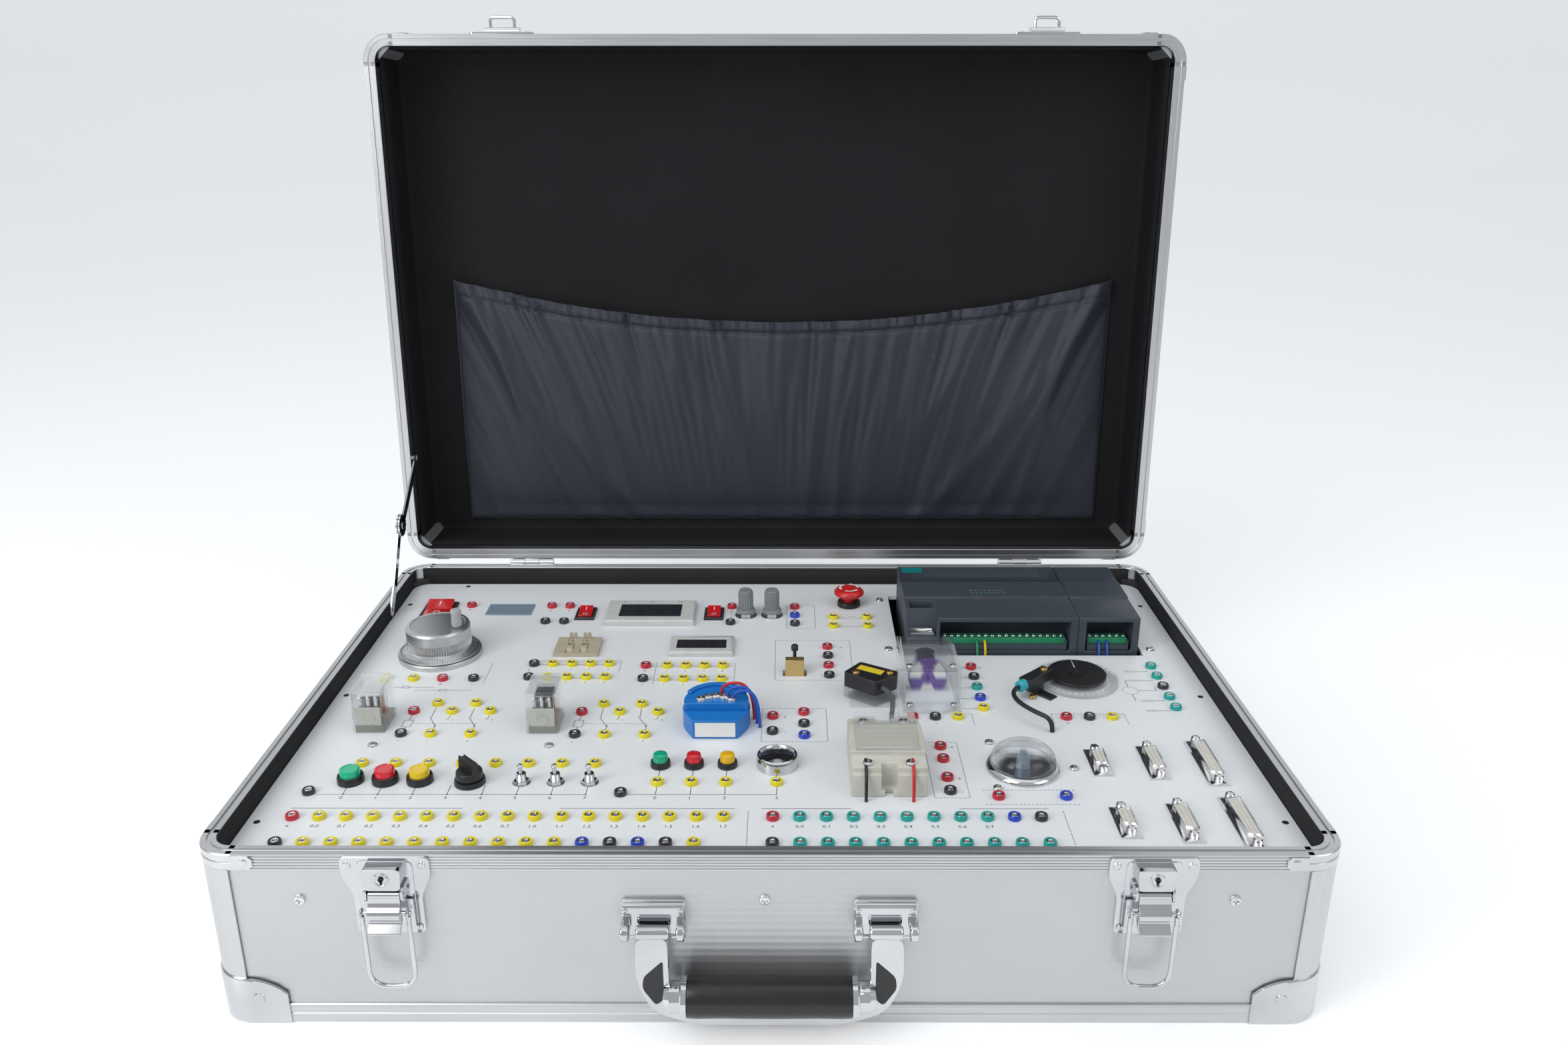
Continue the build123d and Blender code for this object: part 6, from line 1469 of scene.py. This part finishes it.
# the pierced top's holes are not cut: arcs of painted shade lie a hair above the can's top
for r, z in ((2.2, 8.12), (3.8, 7.95), (5.4, 7.75), (7.0, 7.42), (8.6, 7.0)):
    for start in (20, 110, 200, 290):
        for i in range(6):
            a, b = radians(start + 9 * i), radians(start + 9 * (i + 1))
            ring_patch(pierced, *BUZZER, PLATE + z + 0.08, ((r - 0.35, a), (r + 0.35, a), (r + 0.35, b),
                                                            (r - 0.35, b)))
turn(dish, *LAMP, PLATE, [(22.7, 0), (22.7, 1.6), (22.2, 2.4), (20.9, 3.8), (19.8, 4.0), (19.0, 3.2),
                          (13, 1.9), (6.5, 1.4), (0.01, 1.4)], 64)
turn(bulb, *LAMP, PLATE, [(4.2, 1.5), (4.2, 5.6), (3.6, 6.2), (3.4, 9.5), (2.4, 11.6), (0.01, 12)], 32)
turn(dome, *LAMP, PLATE, [(20.4, 4.05), (20.2, 6.5), (19.2, 10), (17, 12.8), (13.8, 14.8), (8.5, 15.9),
                          (0.01, 16), (0.01, 14.6), (8, 14.4), (13, 13.4), (15.9, 11.6), (17.8, 9.4),
                          (18.7, 6.5), (18.9, 4.05)], 64, closed=True)
piece("buzzer_can", can, "base", chrome, node="buzzer", smooth=40)
flat_piece("buzzer_holes", pierced, "base", hole_shade)
piece("lamp_dish", dish, "base", chrome, node="lamp_holder", smooth=40)
piece("lamp_bulb", bulb, "base", moulded("lamp_bulb", (0.20, 0.24, 0.30), 0.2), smooth=40)
piece("lamp_dome", dome, "base", clear, smooth=40)


# Serial sockets
# D connectors with folded steel shells, pale moulded inserts with gilt pins and two hexagon posts each.

rounded_copy("connector_shells", "serial_sockets", "base", nickel, 0)
inserts, pins = bmesh.new(), []
for x, length in ((203.1, 30.8), (236.9, 39.1), (270.0, 53.0)):
    for y in (-92.0, -157.7):
        half = (length - 14) / 2 - 1.1
        shape = [(x - 3.4, y - half + 1.4), (x + 3.4, y - half), (x + 3.4, y + half),
                 (x - 3.4, y + half - 1.4)]
        slab(inserts, shape, PLATE + 4.9, PLATE + 5.75)
        count = round((length - 14) / 2.77)
        for k in range(count):
            for dx, step in ((1.4, 0.0), (-1.4, 1.38)):
                if k + (step > 0) < count:
                    pins.append((x + dx, y + (k - (count - 1) / 2) * 2.6 + step, PLATE + 5.76))
piece("connector_inserts", inserts, "base", moulded("pale_insert", (0.66, 0.67, 0.64), 0.4), bevel=0.15,
      smooth=32)
pin = bmesh.new()
turn(pin, 0, 0, 0, [(0.5, 0), (0.45, 0.08), (0.01, 0.1)], 8)
repeat("connector_pins", pin, pins, "base", brass, slot="brass")


# Controller
# Slate plastic housings clipped on a rail in the cut-out: a low shelf with its port, vents, a raised band,
# green terminal blocks under a lintel with clamped wires, and small status windows.

slate = moulded("slate_plastic", (0.052, 0.066, 0.085), 0.4)
rounded_copy("controller_housings", "controller_units", "base", slate, 0.7)
stripe, windows, terminals, heads = bmesh.new(), bmesh.new(), bmesh.new(), []
patch(stripe, oblong(101.5, 117.5, 152, 162), 125.87)
for k in range(8):
    for y in (107.5, 112.5):
        patch(windows, oblong(150 + 3.4 * k, 152 + 3.4 * k, y, y + 1.5), 127.06)
for x0, x1 in ((123.6, 216.4), (231.1, 261.9)):
    block(terminals, x0 + 0.6, x1 - 0.6, 69.5, 77.8, 99.2, 107.6)
    heads += [(x0 + 3 + 5.1 * k, 73.6, 107.6, (0, 0, k)) for k in range(int((x1 - x0) / 5.1))]
flat_piece("teal_stripe", stripe, "base", moulded("teal_stripe", (0.0, 0.22, 0.24), 0.4))
flat_piece("status_windows", windows, "base", moulded("status_green", (0.10, 0.24, 0.16), 0.3))
piece("terminal_blocks", terminals, "base", moulded("terminal_green", (0.02, 0.28, 0.13), 0.4),
      bevel=0.3)
repeat("clamp_screws", cross_screw(1.9, 0.8), heads, "base", nickel, slot="steel")


# Leads and cables
# Round leads in coloured insulation from the terminals, and the round cables of the two sensors, which hang
# in short curves and go back through the plate.

def cable(name, route, r, tone):
    """Round lead along control points above the plate."""
    curve = bpy.data.curves.new(name, "CURVE")
    curve.dimensions = "3D"
    curve.bevel_depth = r / 1000
    curve.bevel_resolution = 3
    curve.resolution_u = 16
    curve.use_fill_caps = True
    spline = curve.splines.new("NURBS")
    spline.points.add(len(route) - 1)
    metres = [(x / 1000, y / 1000, (z + PLATE) / 1000) for x, y, z in route]
    for point, place in zip(spline.points, metres):
        point.co = (*place, 1)
    spline.order_u = 3
    spline.use_endpoint_u = True
    made = bpy.data.objects.new(name, curve)
    bpy.context.collection.objects.link(made)
    curve.materials.append(tone)
    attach(made, "base")
    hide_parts("panel_wiring")


insulation = {name: moulded("insulation_" + name, tone, 0.4)
              for name, tone in (("yellow", (0.78, 0.62, 0.02)), ("blue", (0.02, 0.10, 0.55)),
                                 ("green", (0.02, 0.32, 0.14)), ("red", (0.60, 0.02, 0.02)),
                                 ("black", (0.016, 0.016, 0.018)), ("grey", (0.10, 0.11, 0.12)))}
for x, tone in ((150, "green"), (156, "yellow"), (240, "blue"), (246, "blue")):
    cable(f"control_lead_{x}", [(x, 70, 7.4), (x, 62, 7.4), (x, 62, -12)], 1.0, insulation[tone])
for x, tone in ((56.1, "black"), (84.1, "red")):
    cable("relay_lead_" + tone, [(x, -121.3, 20.3), (x, -135, 20.3), (x, -135, 0)], 1.0, insulation[tone])
for i, (tone, length) in enumerate((("red", 0.0463), ("blue", 0.0448), ("blue", 0.0434))):
    x, y, out = -33.8 + 4 * i, -33 - 5.5 * i, TRANSMITTER[0] + (24.5 + 2 * i)
    cable(f"transmitter_lead_{i + 1}", [(x, y, 18), (x, y, 26), (out, y - 3, 26), (out, y - 3, 0)], 1.0,
          insulation[tone])
cable("barrier_cable", [(74, -16.2, 13), (78.5, -22.8, 13), (79.5, -36, 13), (78, -47, 11), (78, -47, 0)],
      1.6, insulation["grey"])
cable("sensor_cable", [(167.24, -9.30, 10), (162.14, -14.1, 10), (162.24, -28.3, 10), (171.24, -43.3, 10),
                       (182.24, -52.3, 9), (182.24, -52.3, 0)], 1.6, insulation["black"])


# Lid lining and pocket
# Black woven lining glued in the lid. The pocket is navy nylon, stitched to the lining along three sides and
# gathered along the top by an elastic hem; its creases follow a formula. A felt band lines the base.

def woven(pitch, low, high, sheen):
    """Build function for plain weave of a pitch in millimetres, across X and across Y and Z."""
    def build(s, tone):
        x, y, z = s.place().parts()
        threads = 0.5 * abs(x.wave(pitch)) + 0.5 * abs(z.wave(pitch) + y.wave(pitch))
        cloud = s.noise(s.place(), 12.0, 3.0)
        return {"Base Color": (0.5 * threads + 0.5 * cloud).mixed(tone, (*high, 1)),
                "Roughness": low + sheen * threads, "Normal": s.raised(threads, 0.10, 0.6)}
    return build


lining_cloth = finish("woven_lining", (0.004, 0.004, 0.005), 0.8, 0.0,
                      woven(1.1, 0.6, (0.015, 0.015, 0.018), 0.3), Specular_IOR_Level=0.2)
nylon = finish("navy_nylon", (0.009, 0.012, 0.022), 0.4, 0.0, woven(0.7, 0.28, (0.018, 0.022, 0.040), 0.2),
               Sheen_Weight=0.15)


def rounded_box(half_x, half_y, r):
    """Outline about the middle with round corners."""
    return softened(oblong(-half_x, half_x, -half_y, half_y), r, 6)


def give_thickness(sheet, thickness, offset):
    """Make a sheet a wall, in metres: about its face with an offset of 0, and behind it with -1."""
    wall = sheet.modifiers.new("thickness", "SOLIDIFY")
    wall.thickness = thickness
    wall.offset = offset


lining = bmesh.new()
levels = [[(a, b, z) for a, b in rounded_box(300.9 - i, 198.4 - i, 11 - i)] for z, i in (
    (122.2, 0), (140, 0), (160, 0), (166.2, 0.2), (168.2, 1.4), (168.9, 3.4))]
run(lining, levels, caps=False)
lining.faces.new([lining.verts.new(p) for p in reversed(levels[-1])])
made = piece("lining_cloth", lining, "lid", lining_cloth, node="lid_lining", pose=lid_pose,
             smooth=50)
give_thickness(made, 0.0011, 0.0)

# the pocket: a fold and a pleat from noise, creases that lean away from both ends, and a gathered hem
ACROSS, DOWN = 260, 90
LEFT_END, SPREAD, FLOOR = -269, 549, 168.3
cloth = bmesh.new()
grid = []
for j in range(DOWN + 1):
    v, row = (j / DOWN) ** 1.35, []
    for i in range(ACROSS + 1):
        u = i / ACROSS
        top = 231 - 35 * (1 - (2 * u - 1) ** 2)
        ends = min(1.0, 9 * u, 9 * (1 - u)) ** 0.5
        hang = sin(pi * min(1.0, 0.08 + v)) ** 0.6 if v < 0.92 else 0.0
        along = u - 0.45 * v * (0.5 - u)
        fold = 1 - abs(2.4 * noise.noise(Vector((15 * along, 0.8 * v, 0.7))))
        pleat = 1 - abs(2.6 * noise.noise(Vector((52 * along, 1.8 * v, 5.0))))
        deep = 1.4 + ends * (2.0 * (1 - v) + 4.2 * hang + 3.6 * (1 - 0.5 * v) * fold
                             + 2.6 * (1 - v) ** 1.2 * pleat)
        for start, lean, wide, high in ((0.02, 0.17, 0.012, 4.0), (0.05, 0.08, 0.009, 2.5),
                                        (0.0, 0.28, 0.018, 3.5)):
            for edge in (u, 1 - u):
                deep += high * (1 - 0.6 * v) * exp(-((edge - start - lean * v) / wide) ** 2)
        hem = exp(-((v - 0.055) / 0.010) ** 2)
        deep -= ends * (2.6 * hem
                        - 0.8 * (v < 0.045) * sin(2 * pi * 75 * u + 4 * noise.noise(Vector((20 * u, 0, 0)))))
        deep = max(1.0, deep) if 0 < i < ACROSS and j < DOWN else 1.0
        down = top + (22 - top) * v
        row.append(cloth.verts.new((LEFT_END + SPREAD * u, HINGE_Y - down, FLOOR - deep)))
    grid.append(row)
for a, b in zip(grid, grid[1:]):
    for i in range(ACROSS):
        cloth.faces.new((a[i], a[i + 1], b[i + 1], b[i]))
made = piece("pocket_cloth", cloth, "lid", nylon, node="lid_pocket", pose=lid_pose, smooth=60,
             clean=False)
give_thickness(made, 0.0006, -1.0)

band = bmesh.new()
run(band, [[(a, b, z) for a, b in rounded_box(301.36, 198.85, 12)] for z in (88, 95, 103, 110.5)], caps=False)
felt = finish("charcoal_felt", (0.012, 0.012, 0.013), 0.9, 0.0, woven(0.9, 0.7, (0.03, 0.03, 0.032), 0.2),
              Specular_IOR_Level=0.2)
made = piece("felt_band", band, "base", felt, smooth=50)
give_thickness(made, 0.00022, 0.0)
